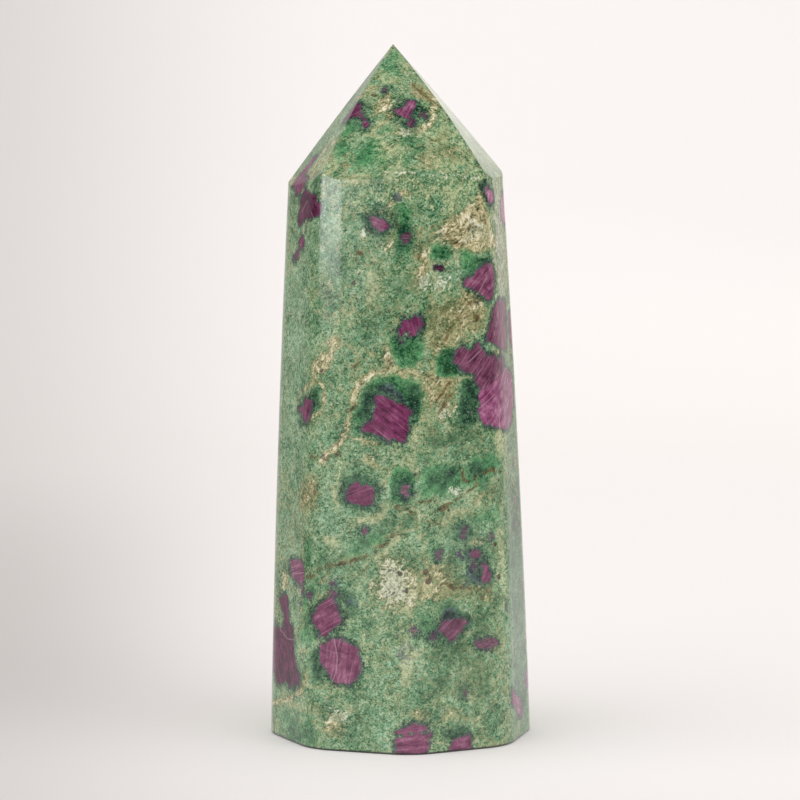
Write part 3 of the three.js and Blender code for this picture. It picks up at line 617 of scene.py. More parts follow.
# A vein drawn as a line. width is its breadth in millimetres.
Vein = namedtuple("Vein", "kind strength width line")
VEINS = (
    # Cream mica.
    Vein("cream", 0.85, 0.8, ((-62.4, 155.9), (-51.4, 156.7), (-41.7, 156.9))),
    Vein("cream", 0.85, 1.3, ((2, 147.6), (10, 147.9), (22, 148.7), (32, 150), (38, 152), (44, 154.2),
        (50, 156))),
    Vein("cream", 0.7, 0.9, ((-20, 148), (-12, 149.8), (-6, 151), (0, 152))),
    Vein("cream", 0.65, 0.8, ((15, 144.4), (24, 145.8), (34, 146.2), (44, 148))),
    Vein("cream", 0.8, 0.9, ((-60, 143), (-50, 145), (-41, 146.6))),
    Vein("cream", 0.7, 0.8, ((14, 140.5), (20, 141.4), (27, 142.2), (35, 142.6), (40, 144))),
    Vein("cream", 0.8, 0.9, ((-60, 140.3), (-48, 141.4), (-40, 142.2))),
    Vein("cream", 0.8, 0.7, ((-56.6, 135.7), (-60.3, 133.8), (-62.4, 132.4))),
    Vein("cream", 0.7, 0.8, ((-10, 128.3), (-5, 129.8), (-1, 131.5), (2, 133.5), (7, 133))),
    Vein("cream", 0.7, 0.8, ((-5, 120), (-2, 123), (1, 126))),
    Vein("cream", 0.85, 0.9, ((60, 114.8), (66, 114.2), (72, 112.5), (78, 109.5))),
    Vein("cream", 0.75, 0.7, ((54, 95.3), (60, 95.2), (70, 94.8), (78, 95.5))),
    Vein("cream", 0.95, 1.6, ((-21, 83.6), (-21.8, 85.5), (-20, 87.5), (-17, 89), (-12.5, 90.3), (-8, 90.8),
        (-2, 91.4), (4, 90.4), (9, 89.3))),
    Vein("cream", 0.75, 0.8, ((-60.3, 82.8), (-55.5, 85.3), (-48.6, 87.2), (-44, 88.4), (-39, 88), (-37, 86),
        (-37.6, 83), (-39, 81), (-43, 79.8), (-46, 78.6))),
    Vein("cream", 0.7, 0.9, ((11.7, 87), (12.4, 83.6), (11.5, 80))),
    Vein("cream", 0.8, 1.0, ((-24.2, 80.5), (-24.8, 78), (-25.5, 76))),
    Vein("cream", 0.8, 1.4, ((-25.5, 76), (-28.5, 74), (-31.5, 72.5), (-35, 71), (-38, 69.3))),
    Vein("cream", 0.7, 0.8, ((-24, 75.3), (-19, 74.8), (-14, 74.2), (-9, 74))),
    Vein("cream", 0.75, 1.0, ((-82.4, 7.5), (-72.8, 8.9), (-67.2, 9.6), (-60.3, 10.6), (-54.1, 12),
        (-49.3, 13.4), (-45.9, 16.5), (-44.5, 18.6))),
    # Tan.
    Vein("tan", 0.8, 1.2, ((66, 136), (68, 131), (70, 124), (72, 118))),
    Vein("tan", 0.8, 1.0, ((55, 124), (60, 122), (66, 121.5), (72, 122.5))),
    Vein("tan", 0.7, 1.2, ((84, 120), (82, 112), (86, 108))),
    Vein("tan", 0.7, 1.0, ((76, 106), (79, 98), (78, 92))),
    Vein("tan", 0.6, 1.2, ((53, 18), (54, 12), (54, 7))),
    # Pale yellowish green.
    Vein("pale", 0.8, 0.6, ((-31, 58), (-30, 64), (-28, 69), (-20, 71.5), (-11, 69.5), (-8, 65))),
    Vein("pale", 0.8, 0.6, ((-20, 40), (-18, 36), (-17.5, 31), (-16, 26), (-15, 21))),
    # White.
    # Painted highlight: this white line runs along the front of the shoulder's edge, where the polish catches
    # the light.
    Vein("white", 0.7, 0.45, ((-6, 138), (8, 138), (25, 137.6), (40, 137.2), (47, 137))),
    # Brown.
    Vein("brown", 0.8, 0.57, ((30, 160), (38, 158), (44, 155))),
    Vein("brown", 0.8, 0.49, ((-29, 157.3), (-25, 156.7))),
    Vein("brown", 0.7, 0.41, ((38, 127), (44, 128.2), (49, 128.4), (51, 126))),
    Vein("brown", 0.65, 0.49, ((10, 116), (11.5, 120), (15, 123), (20, 126))),
    Vein("brown", 0.7, 0.41, ((33, 125), (38, 124), (42, 125.6), (47, 124.8))),
    Vein("brown", 0.8, 0.49, ((25, 125.2), (27, 122.8), (30, 122.2), (36, 121))),
    Vein("brown", 0.75, 0.49, ((-22, 119.3), (-17, 118.6), (-11, 119.5))),
    Vein("brown", 0.7, 0.49, ((24, 98), (30, 102.5), (36, 106), (42, 108))),
    Vein("brown", 0.65, 0.49, ((16, 98.5), (20, 103), (26, 107))),
    Vein("brown", 0.75, 0.49, ((30, 105), (34, 103), (40, 104.5), (45, 103))),
    Vein("brown", 0.6, 0.67, ((-22, 92), (-14, 93.5), (-8, 92.5))),
    Vein("brown", 0.75, 0.49, ((19, 84), (23, 86.4), (27, 88.6))),
    Vein("brown", 0.75, 0.49, ((20, 81), (24, 83.6), (28, 86))),
    Vein("brown", 0.95, 0.41, ((-24, 81), (-22, 82.4), (-20, 83.2))),
    Vein("brown", 0.9, 0.49, ((-36.5, 69.8), (-32, 70.8), (-28.6, 71.6))),
    Vein("brown", 0.7, 0.49, ((-45.5, 69.8), (-40, 70.6))),
    Vein("brown", 0.95, 0.83, ((30, 69.6), (32, 67), (33, 65), (37, 64.8), (41.4, 66.3), (48.3, 67),
        (54.5, 66.4))),
    Vein("brown", 0.75, 0.41, ((-42, 61.5), (-40, 63), (-38.5, 64.5))),
    Vein("brown", 0.9, 0.75, ((16, 57.6), (20, 58.5), (24, 59.2), (29.7, 60.8), (35.9, 62.2), (39, 64))),
    Vein("brown", 0.9, 0.57, ((9, 60.2), (16.6, 60.3), (18, 61.2))),
    Vein("brown", 0.9, 0.75, ((0, 59), (4, 58.4), (7, 57.6))),
    Vein("brown", 0.75, 0.9, ((-45.9, 41), (-37.6, 43.4), (-30, 44.8), (-23.8, 45.5), (-16.9, 46.8),
        (-10, 48.6), (-5.2, 51), (0, 52.7))),
    Vein("brown", 0.85, 0.67, ((46, 49), (50, 48.6))),
    Vein("brown", 0.7, 0.49, ((20, 40.5), (26, 39.5), (34, 39), (46, 37.5))),
)

# Small dark pits and holes, from the top down.
Pit = namedtuple("Pit", "azimuth height radius")
PITS = (
    Pit(26, 122.3, 0.8), Pit(-19.6, 114, 0.5), Pit(61, 113, 0.3), Pit(-19, 112.6, 0.5),
    Pit(14.4, 112.6, 0.4), Pit(-22, 112, 0.7), Pit(30, 109.5, 0.4), Pit(43, 107, 0.5), Pit(17, 106, 0.4),
    Pit(20, 104, 0.5), Pit(38, 102, 0.5), Pit(22, 99, 0.4), Pit(-4, 94.6, 0.5), Pit(-37, 94, 0.5),
    Pit(-2.5, 93, 0.6), Pit(-42, 92.6, 0.5), Pit(-39.2, 91, 0.6), Pit(15, 90, 0.6), Pit(20, 89.5, 0.6),
    Pit(-18, 88, 0.6), Pit(-34, 70.9, 0.6), Pit(-38, 70.6, 0.7), Pit(-13, 70.5, 0.5), Pit(-11, 68.3, 0.4),
    Pit(7.6, 66.8, 0.7), Pit(52, 64.6, 0.8), Pit(16, 64, 0.4), Pit(30, 62.6, 0.4), Pit(-41, 62.3, 0.4),
    Pit(24, 57.8, 0.5), Pit(49, 48.8, 0.9), Pit(-19, 46.4, 0.5), Pit(-28, 44.6, 0.6), Pit(-4, 44, 0.5),
    Pit(12, 44, 0.6), Pit(0.4, 43.4, 0.8), Pit(12.4, 43.4, 1.0), Pit(14.5, 42.5, 0.6), Pit(-8, 41.8, 0.6),
    Pit(2.4, 41.4, 0.5), Pit(13.6, 41.4, 0.9), Pit(50, 41.2, 0.9), Pit(1, 41.2, 0.4), Pit(31, 40.2, 0.7),
    Pit(7, 39.8, 0.5), Pit(3.4, 39.3, 0.9), Pit(-2, 38.4, 0.7), Pit(-3, 38, 0.4), Pit(-6, 37.5, 0.5),
    Pit(-7, 12, 0.3), Pit(-62.4, 10.6, 0.5), Pit(-76, 9.9, 0.5), Pit(-69, 9.8, 0.5), Pit(23, 7.5, 0.5),
    Pit(26, 7, 0.5),
)

# A fine light crack or scratch in a ruby.
CRACKS = (
    ((-30.3, 26.5), (-29, 22.7), (-29.3, 19.6), (-30.7, 17.5)),
    ((-72.8, 26.5), (-65.2, 24.9), (-58.9, 25.1)),
    ((-58.3, 41.3), (-49.3, 42.1)),
    ((62, 89.5), (69.7, 91), (80, 88.8)),
    ((42.8, 82.2), (51, 84.8)),
    ((55.5, 83), (55.2, 76.5)),
    ((37, 93), (44, 95.8)),
    ((44, 109.6), (50, 113.4)),
    ((-61, 129), (-55, 131.4)),
)

# ---------------------------------------------------------------------------------------------------------
# The unrolled surface, and how the markings are laid on it. Lengths are in millimetres.

KINDS = ("pale", "emerald", "dark", "blue", "teal", "olive", "cream", "white", "tan", "brown")
REACH = 4.0  # how far from a marking its distance is still told
CRACK_REACH = 2.0  # and from a crack
FEATHER = 1.7  # how much wider the zones' soft borders are than as listed
VEIN_BORDER = 1.2  # the breadth of a vein's soft border
PIT_BORDER = 1.0  # and of a pit's
PIT_BODY = 0.8  # where the middle of that border lies, as a share of the pit's radius
FOOT_RIM = 31.6  # the foot's radius, about
SHOULDER_RIM = 26.0  # and the shoulder's
MIDDLE_RADIUS = 29.0  # and the stone's, half way up
DEGREE_WIDTH = 0.52  # how far a degree of azimuth reaches there
POINT_SLANT = 1.27  # how much longer the point's slope is than its height
RIDGE_SHARE = 0.79  # how much of a ridge's swell to the side lies square to the point's facets
SWELL_LEVELS = 100  # how finely the swell is graded
HIDDEN_SIDE = (98, 262)  # the azimuths that the seeded random markings fill
SPOT_TRIES = 30  # how often a place is looked for, for each one wanted
SEED = 5
TINY = 1e-9  # keeps a division from being by nothing


def axis_x(height):
    """How far the stone's middle stands to the side at each height."""
    below = SHOULDER_X * np.clip(height, 0, SHOULDER_HEIGHT) / SHOULDER_HEIGHT
    above = np.clip(height - SHOULDER_HEIGHT, 0, None) / (HEIGHT - SHOULDER_HEIGHT)
    return below + above * (POINT_X - SHOULDER_X)


def unroll(mesh):
    """Each vertex's azimuth and height on the unrolled surface."""
    places = np.empty(len(mesh.vertices) * 3)
    mesh.vertices.foreach_get("co", places)
    x, y, z = places.reshape(-1, 3).T / MM
    x = x - axis_x(z)
    radius = np.hypot(x, y)
    underside = (z < 0.2) & (radius < FOOT_RIM - 1)
    return np.degrees(np.arctan2(x, -y)), np.where(underside, radius - FOOT_RIM, z)


def flatten(azimuths, heights, middle):
    """Places round the middle one as flat coordinates, across and up."""
    wall = FOOT_RIM + (SHOULDER_RIM - FOOT_RIM) * np.clip(heights, 0, SHOULDER_HEIGHT) / SHOULDER_HEIGHT
    point = SHOULDER_RIM * (HEIGHT - heights) / (HEIGHT - SHOULDER_HEIGHT)
    radius = np.minimum(wall, point) + np.clip(heights, None, 0)
    across = np.radians((azimuths - middle[0] + 180) % 360 - 180) * radius
    slope = np.where(heights > SHOULDER_HEIGHT, POINT_SLANT, 1.0)
    return np.stack([across, (heights - middle[1]) * slope], axis=1)


def distance_to(places, line, closed):
    """Each place's distance from a line: negative inside a closed one, and on the right of an open one."""
    ends = np.roll(line, -1, axis=0)
    pairs = list(zip(line, ends)) if closed else list(zip(line, ends))[:-1]
    nearest = np.full(len(places), np.inf)
    inside = np.zeros(len(places), bool)
    for start, end in pairs:
        stride = end - start
        offset = places - start
        share = np.clip(offset @ stride / max(stride @ stride, TINY), 0, 1)
        distance = np.hypot(*(offset - share[:, None] * stride).T)
        if closed:
            crosses = (start[1] > places[:, 1]) != (end[1] > places[:, 1])
            rise = stride[1] if stride[1] else TINY
            inside ^= crosses & (offset[:, 0] < offset[:, 1] * stride[0] / rise)
        else:
            left = stride[0] * offset[:, 1] - stride[1] * offset[:, 0] > 0
            inside = np.where(distance < nearest, ~left, inside)
        nearest = np.minimum(nearest, distance)
    return np.where(inside, -nearest, nearest)


def soften(distance, border):
    """1 well inside a marking and 0 well outside it, for a distance from its edge and a soft border."""
    return np.clip(0.5 - distance / border, 0, 1)


class Chart:
    """The unrolled surface of a mesh, with a value for each vertex in each layer."""

    def __init__(self, mesh):
        self.azimuths, self.heights = unroll(mesh)
        count = len(self.azimuths)
        self.layers = {kind: np.zeros(count) for kind in KINDS}
        self.layers["pit"] = np.zeros(count)
        self.layers["ruby_show"] = np.ones(count)
        for distance in ("ruby", "crack_side", "crack_near"):
            self.layers[distance] = np.full(count, REACH)
        self.ruby_grain = np.zeros((count, 3))
        self.ruby_look = np.full((count, 3), 0.5)

    def around(self, outline, reach=REACH):
        """The vertices near an outline, their flat coordinates and the outline's own."""
        outline = np.array(outline, float)
        middle = (outline.min(axis=0) + outline.max(axis=0)) / 2
        flat_outline = flatten(outline[:, 0], outline[:, 1], middle)
        low, high = flat_outline.min(axis=0) - reach, flat_outline.max(axis=0) + reach
        flat = flatten(self.azimuths, self.heights, middle)
        near = np.nonzero(((flat > low) & (flat < high)).all(axis=1))[0]
        return near, flat[near], flat_outline

    def raise_layer(self, kind, near, values):
        """Raises a layer to the values wherever it is lower."""
        layer = self.layers[kind]
        layer[near] = np.maximum(layer[near], values)

    def draw_zone(self, zone):
        """Fills a zone's outline, with a soft border."""
        near, places, outline = self.around(zone.outline)
        distance = distance_to(places, outline, closed=True)
        level = zone.strength * soften(distance, 2 * zone.softness * FEATHER)
        self.raise_layer(zone.kind, near, level)

    def draw_vein(self, vein):
        """Draws a vein along its line."""
        near, places, line = self.around(vein.line)
        distance = np.abs(distance_to(places, line, closed=False)) - vein.width / 2
        self.raise_layer(vein.kind, near, vein.strength * soften(distance, VEIN_BORDER))

    def draw_pit(self, pit):
        """Draws a round pit."""
        near, places, middle = self.around([(pit.azimuth, pit.height)])
        distance = np.hypot(*(places - middle[0]).T) - PIT_BODY * pit.radius
        self.raise_layer("pit", near, soften(distance, PIT_BORDER))

    def draw_ruby(self, ruby):
        """Tells each vertex its distance from the nearest ruby's edge, and that ruby's grain and look."""
        near, places, outline = self.around(ruby.outline)
        distance = distance_to(places, outline, closed=True)
        closer = distance < self.layers["ruby"][near]
        near, places, distance = near[closer], places[closer], distance[closer]
        self.layers["ruby"][near] = distance
        slope = math.radians(ruby.streak)
        along = places @ (math.cos(slope), math.sin(slope))
        across = places @ (-math.sin(slope), math.cos(slope))
        own_slice = np.full(len(near), ruby.outline[0][1])
        self.ruby_grain[near] = np.stack([along, across, own_slice], axis=1)
        self.ruby_look[near] = (ruby.tone, ruby.vivid, ruby.rim)
        self.layers["ruby_show"][near] = ruby.show

    def draw_crack(self, line):
        """Tells each vertex its distance from the nearest crack, and the side of it that it lies on."""
        near, places, flat_line = self.around(line, CRACK_REACH)
        distance = distance_to(places, flat_line, closed=False)
        closer = np.abs(distance) < self.layers["crack_near"][near]
        near, distance = near[closer], distance[closer]
        self.layers["crack_side"][near] = distance
        self.layers["crack_near"][near] = np.abs(distance)

    def store(self, mesh):
        """Keeps every layer with the mesh, for its material to read."""
        for name, values in self.layers.items():
            attribute = mesh.attributes.new(name, "FLOAT", "POINT")
            attribute.data.foreach_set("value", values.astype(np.float32))
        for name, values in (("ruby_grain", self.ruby_grain), ("ruby_look", self.ruby_look)):
            attribute = mesh.attributes.new(name, "FLOAT_VECTOR", "POINT")
            attribute.data.foreach_set("vector", values.astype(np.float32).ravel())


def random_blob(draw, azimuth, height, size):
    """A rough closed outline round a place, about size millimetres across."""
    spokes = draw.integers(6, 10)
    stretch = draw.uniform(1.0, 1.8)
    lean = draw.uniform(0, math.pi)
    on_point = height > SHOULDER_HEIGHT
    fall = (HEIGHT - height) / (HEIGHT - SHOULDER_HEIGHT)
    radius = (MIDDLE_RADIUS * fall if on_point else MIDDLE_RADIUS) + min(height, 0)
    slant = POINT_SLANT if on_point else 1
    outline = []
    for spoke in range(spokes):
        angle = 2 * math.pi * (spoke + draw.uniform(-0.3, 0.3)) / spokes
        reach = size / 2 * draw.uniform(0.65, 1.15)
        across, up = reach * math.cos(angle) * stretch, reach * math.sin(angle) / stretch
        turned_across = across * math.cos(lean) - up * math.sin(lean)
        turned_up = across * math.sin(lean) + up * math.cos(lean)
        outline.append((azimuth + math.degrees(turned_across / radius), height + turned_up / slant))
    return tuple(outline)


def random_spots(draw, count, spacing, heights, azimuths=HIDDEN_SIDE):
    """Places on the hidden side that keep their distance from each other."""
    spots = []
    for _ in range(count * SPOT_TRIES):
        spot = (draw.uniform(*azimuths), draw.uniform(*heights))
        if all(math.hypot((spot[0] - a) * DEGREE_WIDTH, spot[1] - h) > spacing for a, h in spots):
            spots.append(spot)
        if len(spots) == count:
            break
    return spots


def random_rubies(draw):
    """Rubies on the hidden side and on the underside, and the halos that some of them have."""
    rubies, halos = [], []
    spots = random_spots(draw, 32, 11, (4, 158)) + random_spots(draw, 7, 9, (-22, -6), (0, 360))
    for azimuth, height in spots:
        size = float(np.clip(draw.lognormal(1.5, 0.75), 1.6, 15))
        size = min(size, 4.5) if height > SHOULDER_HEIGHT else size
        tone, vivid = draw.uniform(0.2, 0.65), draw.uniform(0.35, 0.8)
        rim, streak = draw.uniform(0.4, 1.2), draw.uniform(-80, 80)
        rubies.append(Ruby(tone, vivid, rim, streak, random_blob(draw, azimuth, height, size)))
        if draw.uniform() < 0.7:
            kind = ("emerald", "dark")[int(draw.integers(2))]
            side, rise = draw.uniform(-4, 4), draw.uniform(-4, 4)
            breadth = size * draw.uniform(0.8, 1.4) + 3
            halo = random_blob(draw, azimuth + side * 2, height + rise, breadth)
            halos.append(Zone(kind, draw.uniform(0.7, 1.1), 1.0, halo))
        if draw.uniform() < 0.25:
            shift = draw.uniform(-5, 5)
            halo = random_blob(draw, azimuth + shift, height + shift / 2, size * 0.8)
            halos.append(Zone("blue", 0.8, 0.5, halo))
    return rubies, halos


def random_zones(draw):
    """Emerald, pale, cream and olive patches on the hidden side, the cream ones in a tan border."""
    zones = []
    for azimuth, height in random_spots(draw, 10, 14, (5, 150)):
        strength, size = draw.uniform(0.6, 1.0), draw.uniform(4, 11)
        zones.append(Zone("emerald", strength, 1.2, random_blob(draw, azimuth, height, size)))
    for azimuth, height in random_spots(draw, 6, 26, (5, 145)):
        size = draw.uniform(14, 26)
        zones.append(Zone("pale", 0.6, 3.0, random_blob(draw, azimuth, height, size)))
    for azimuth, height in random_spots(draw, 8, 22, (5, 145)):
        size, strength = draw.uniform(6, 18), draw.uniform(0.7, 1.05)
        zones.append(Zone("cream", strength, 0.8, random_blob(draw, azimuth, height, size)))
        zones.append(Zone("tan", 0.5, 1.2, random_blob(draw, azimuth, height, size * 1.3)))
    for azimuth, height in random_spots(draw, 8, 20, (0, 145)):
        size = draw.uniform(10, 20)
        zones.append(Zone("olive", 0.55, 2.5, random_blob(draw, azimuth, height, size)))
    return zones


def random_veins(draw):
    """Cream and brown veins that wander over the hidden side."""
    veins = []
    for kind, count, width in (("cream", 9, 0.9), ("brown", 8, 0.6)):
        for azimuth, height in random_spots(draw, count, 14, (5, 150)):
            heading, line = draw.uniform(-math.pi, math.pi), []
            for _ in range(int(draw.integers(4, 9))):
                line.append((azimuth, height))
                heading += draw.uniform(-0.5, 0.5)
                azimuth += 8 * math.cos(heading)
                height += 3 * math.sin(heading)
            veins.append(Vein(kind, draw.uniform(0.65, 0.85), width, tuple(line)))
    return veins


def random_pits(draw):
    """Pits on the hidden side."""
    spots = random_spots(draw, 18, 8, (0, 150))
    return [Pit(azimuth, height, draw.uniform(0.3, 0.6)) for azimuth, height in spots]


def draw_markings(mesh):
    """Lays every marking on the unrolled surface and keeps the result with the mesh."""
    draw = np.random.default_rng(SEED)
    rubies, halos = random_rubies(draw)
    zones = random_zones(draw)
    veins = random_veins(draw)
    pits = random_pits(draw)
    chart = Chart(mesh)
    for zone in (*ZONES, *halos, *zones):
        chart.draw_zone(zone)
    for vein in (*VEINS, *veins):
        chart.draw_vein(vein)
    for pit in (*PITS, *pits):
        chart.draw_pit(pit)
    for ruby in (*RUBIES, *rubies):
        chart.draw_ruby(ruby)
    for crack in CRACKS:
        chart.draw_crack(crack)
    chart.store(mesh)


def swell_stone(obj, settings):
    """Swells the tall faces and the point's ridges a little out of flat, by a weighted displacement."""
    azimuths, heights = unroll(obj.data)
    share = np.clip(heights, 0, SHOULDER_HEIGHT) / SHOULDER_HEIGHT
    wall = settings.swell / MM * 4 * share * (1 - share)
    turns = [edge.azimuth for edge in EDGES]
    ridge = np.interp(azimuths % 360, turns, [edge.ridge_swell for edge in EDGES], period=360)
    fall = np.clip((HEIGHT - heights) / (HEIGHT - SHOULDER_HEIGHT), 0, 1)
    point = RIDGE_SHARE * ridge * 4 * fall * (1 - fall)
    amounts = np.clip(np.where(heights > SHOULDER_HEIGHT, point, wall), 0, None)
    most = float(amounts.max())
    group = obj.vertex_groups.new(name="swell")
    for step in range(1, SWELL_LEVELS + 1):
        chosen = np.nonzero(np.rint(amounts / most * SWELL_LEVELS) == step)[0]
        if len(chosen):
            group.add(chosen.tolist(), step / SWELL_LEVELS, "REPLACE")
    displace = obj.modifiers.new("Swell", "DISPLACE")
    displace.vertex_group = group.name
    displace.direction = "NORMAL"
    displace.mid_level = 0
    displace.strength = most * MM
    bpy.ops.object.modifier_apply(modifier=displace.name)
    obj.vertex_groups.remove(obj.vertex_groups["swell"])


# ---------------------------------------------------------------------------------------------------------
# Materials. Lengths in them are in millimetres, except in the backdrop's, where they are in metres.

COOL = (0.87, 1.12, 1.18)  # how the ground's colour is scaled where it is coolest
WARM = (1.2, 1.07, 1.04)  # and where it is warmest
STONE_IOR = 1.58  # refractive index of the polished surface
WAVE_HEIGHT = 0.02  # how high the polish's soft waves are
PIT_DEPTH = 0.12  # how deep the pits look
# The backdrop's painted shade darkens it towards this colour.
PAINTED_SHADE_TINT = (0.04, 0.01, 0.0)  # the colour that the backdrop darkens towards

# The noises that the markings share. speckle breaks up the borders of the grainy mica zones, soft_speckle
# those of the soft, clear green ones, and broken is a stringier speckle. mottle is the ground's pattern as it
# goes on inside a zone, and clear is a calmer one.
Noises = namedtuple("Noises", "place drifted shade fine spark speckle soft_speckle broken mottle clear")


def colour(red, green, blue):
    """A screen colour, 0 to 255, as the linear values that shaders take."""
    return tuple(
        value / 3294.6 if value <= 10 else ((value / 255 + 0.055) / 1.055) ** 2.4
        for value in (red, green, blue)
    )


class Shader:
    """Adds nodes to a material's tree, and links what is given to their sockets."""

    def __init__(self, name):
        self.material = bpy.data.materials.new(name)
        self.material.use_nodes = True
        self.tree = self.material.node_tree
        self.surface = self.tree.nodes["Principled BSDF"].inputs

    def feed(self, socket, value):
        """Links another node's output to a socket, or sets the socket to a value."""
        if isinstance(value, bpy.types.NodeSocket):
            self.tree.links.new(value, socket)
        elif hasattr(socket.default_value, "__len__") and len(socket.default_value) == 4:
            socket.default_value = (*value[:3], 1)
        else:
            socket.default_value = value

    def add(self, kind, inputs=None, **settings):
        """Adds a node with these inputs and settings."""
        node = self.tree.nodes.new(kind)
        for name, value in settings.items():
            setattr(node, name, value)
        for name, value in (inputs or {}).items():
            self.feed(node.inputs[name], value)
        return node

    def place(self, scale=(1, 1, 1), turn=(0, 0, 0), source=None):
        """Object coordinates in millimetres, or those of another source, turned and stretched."""
        if source is None:
            source = self.add("ShaderNodeTexCoord").outputs["Object"]
            scale = tuple(factor / MM for factor in scale)
        inputs = {"Vector": source, "Scale": scale, "Rotation": tuple(math.radians(angle) for angle in turn)}
        return self.add("ShaderNodeMapping", inputs).outputs["Vector"]

    def attribute(self, name, output="Fac"):
        """What a layer of the chart says at each point of the surface."""
        return self.add("ShaderNodeAttribute", attribute_name=name).outputs[output]

    def math(self, operation, first, second=0.0, third=0.0):
        """A sum or another operation on up to three values."""
        node = self.add("ShaderNodeMath", operation=operation)
        for socket, value in zip(node.inputs, (first, second, third)):
            self.feed(socket, value)
        return node.outputs[0]

    def total(self, *values):
        """The sum of the values."""
        result = values[0]
        for value in values[1:]:
            result = self.math("ADD", result, value)
        return result

    def product(self, *values):
        """The product of the values."""
        result = values[0]
        for value in values[1:]:
            result = self.math("MULTIPLY", result, value)
        return result

    def noise(self, place, size, detail=2.0, roughness=0.5, distortion=0.0):
        """Noise whose lumps are about size millimetres across."""
        inputs = {"Vector": place, "Scale": 1 / size, "Detail": detail, "Roughness": roughness}
        inputs["Distortion"] = distortion
        return self.add("ShaderNodeTexNoise", inputs).outputs["Fac"]

    def cloud(self, place, size, detail=3.0, roughness=0.6, distortion=0.0, spread=1.0):
        """Noise spread evenly between plus and minus half of spread."""
        value = self.noise(place, size, detail, roughness, distortion)
        inputs = {"Value": value, "From Min": 0.3, "From Max": 0.7}
        inputs |= {"To Min": -spread / 2, "To Max": spread / 2}
        return self.add("ShaderNodeMapRange", inputs).outputs["Result"]

    def drift(self, place, size, reach):
        """The place moved about by soft noise, so that whatever is laid on it drifts and curls."""
        node = self.add("ShaderNodeTexNoise", {"Vector": place, "Scale": 1 / size, "Detail": 2.0})
        shift = self.add("ShaderNodeVectorMath", operation="MULTIPLY_ADD")
        self.feed(shift.inputs[0], node.outputs["Color"])
        self.feed(shift.inputs[1], (reach, reach, reach))
        self.feed(shift.inputs[2], place)
        return shift.outputs["Vector"]

    def lean(self, place, rise, stretch):
        """The place turned and drawn out, for strands that rise at so many degrees to the right."""
        turned = self.place(turn=(0, rise - 90, 0), source=place)
        return self.place(scale=(1, 1, 1 / stretch), source=turned)

    def flakes(self, place, size):
        """Two random values for each flake, about size millimetres across."""
        node = self.add("ShaderNodeTexVoronoi", {"Vector": place, "Scale": 1 / size})
        parts = self.add("ShaderNodeSeparateColor", {"Color": node.outputs["Color"]})
        return parts.outputs["Red"], parts.outputs["Green"]

    def step(self, value, low, high, bottom=0.0, top=1.0):
        """Runs smoothly from bottom to top as value goes from low to high."""
        inputs = {"Value": value, "From Min": low, "From Max": high, "To Min": bottom, "To Max": top}
        return self.add("ShaderNodeMapRange", inputs, interpolation_type="SMOOTHSTEP").outputs["Result"]

    def mix(self, share, under, over, blend="MIX"):
        """One colour laid over another, as far as share says."""
        node = self.add("ShaderNodeMix", data_type="RGBA", blend_type=blend)
        for index, value in ((0, share), (6, under), (7, over)):
            self.feed(node.inputs[index], value)
        return node.outputs[2]

    def ramp(self, value, stops):
        """A colour that runs through the stops as value goes from 0 to 1."""
        node = self.add("ShaderNodeValToRGB", {"Fac": value})
        elements = node.color_ramp.elements
        while len(elements) < len(stops):
            elements.new(0.5)
        for element, (position, tint) in zip(elements, stops):
            element.position = position
            element.color = (*tint, 1)
        return node.outputs["Color"]


def fuchsite_ground(shader, settings, place, drifted):
    """The ground of the stone: fine flakes of fuchsite in drifting clouds and strands of green."""
    shade, hue = shader.flakes(place, 0.42)
    fine, spark = shader.flakes(place, 0.25)
    grain = shader.math("MULTIPLY_ADD", shade, 0.46, shader.math("MULTIPLY", fine, 0.52))
    clumps = shader.cloud(place, 1.1, detail=3, roughness=0.68, spread=0.42)
    patches = shader.cloud(drifted, 8, detail=5, roughness=0.62, distortion=0.4, spread=0.42)
    region = shader.step(shader.cloud(place, 15, detail=3), -0.12, 0.3)
    strands = shader.cloud(shader.lean(drifted, 38, 6), 0.75, detail=4, roughness=0.62)
    strands = shader.math("MULTIPLY", strands, shader.math("MULTIPLY_ADD", region, 0.5, 0.1))
    level = shader.total(grain, clumps, patches, strands, 0.04)
    green = shader.ramp(
        level,
        (
            (0.05, settings.ground_dark),
            (0.28, colour(76, 116, 77)),
            (0.5, settings.ground_green),
            (0.72, colour(139, 163, 126)),
            (1.0, settings.ground_pale),
        ),
    )

    # Smoky dark green, tan flakes, scattered brown flakes and pale wandering filaments.
    smoke = shader.cloud(drifted, 5.5, detail=5, roughness=0.68, distortion=0.8)
    smoke = shader.step(shader.total(smoke, shader.math("MULTIPLY", patches, -0.6)), -0.06, 0.34, 0.0, 0.78)
    green = shader.mix(smoke, green, shader.mix(level, colour(6, 58, 32), colour(102, 146, 104)))
    rust = shader.cloud(drifted, 15, detail=4, roughness=0.6, spread=0.55)
    tan = shader.step(shader.total(hue, rust, shader.math("MULTIPLY", strands, 0.5)), 0.86, 1.1, 0.0, 0.55)
    green = shader.mix(tan, green, shader.mix(fine, colour(104, 94, 60), colour(180, 168, 126)))
    green = shader.mix(shader.step(hue, 0.92, 0.95, 0.0, 0.4), green, colour(134, 118, 94))
    filament = shader.cloud(drifted, 8, detail=5, roughness=0.62, distortion=0.5)
    filament = shader.step(shader.math("ABSOLUTE", filament), 0.07, 0.01)
    filament = shader.math("MULTIPLY", filament, shader.step(rust, -0.1, 0.12, 0.0, 0.5))
    green = shader.mix(filament, green, shader.mix(fine, colour(128, 132, 84), colour(196, 192, 148)))

    warmth = shader.total(
        shader.cloud(shader.lean(drifted, 40, 3), 1.2, detail=4, roughness=0.65, spread=0.8),
        shader.cloud(drifted, 5, detail=3, spread=0.7),
        shader.math("MULTIPLY_ADD", hue, 0.5, 0.25),
    )
    green = shader.mix(1.0, green, shader.mix(warmth, COOL, WARM), "MULTIPLY")
    return green, level, shade, fine, spark


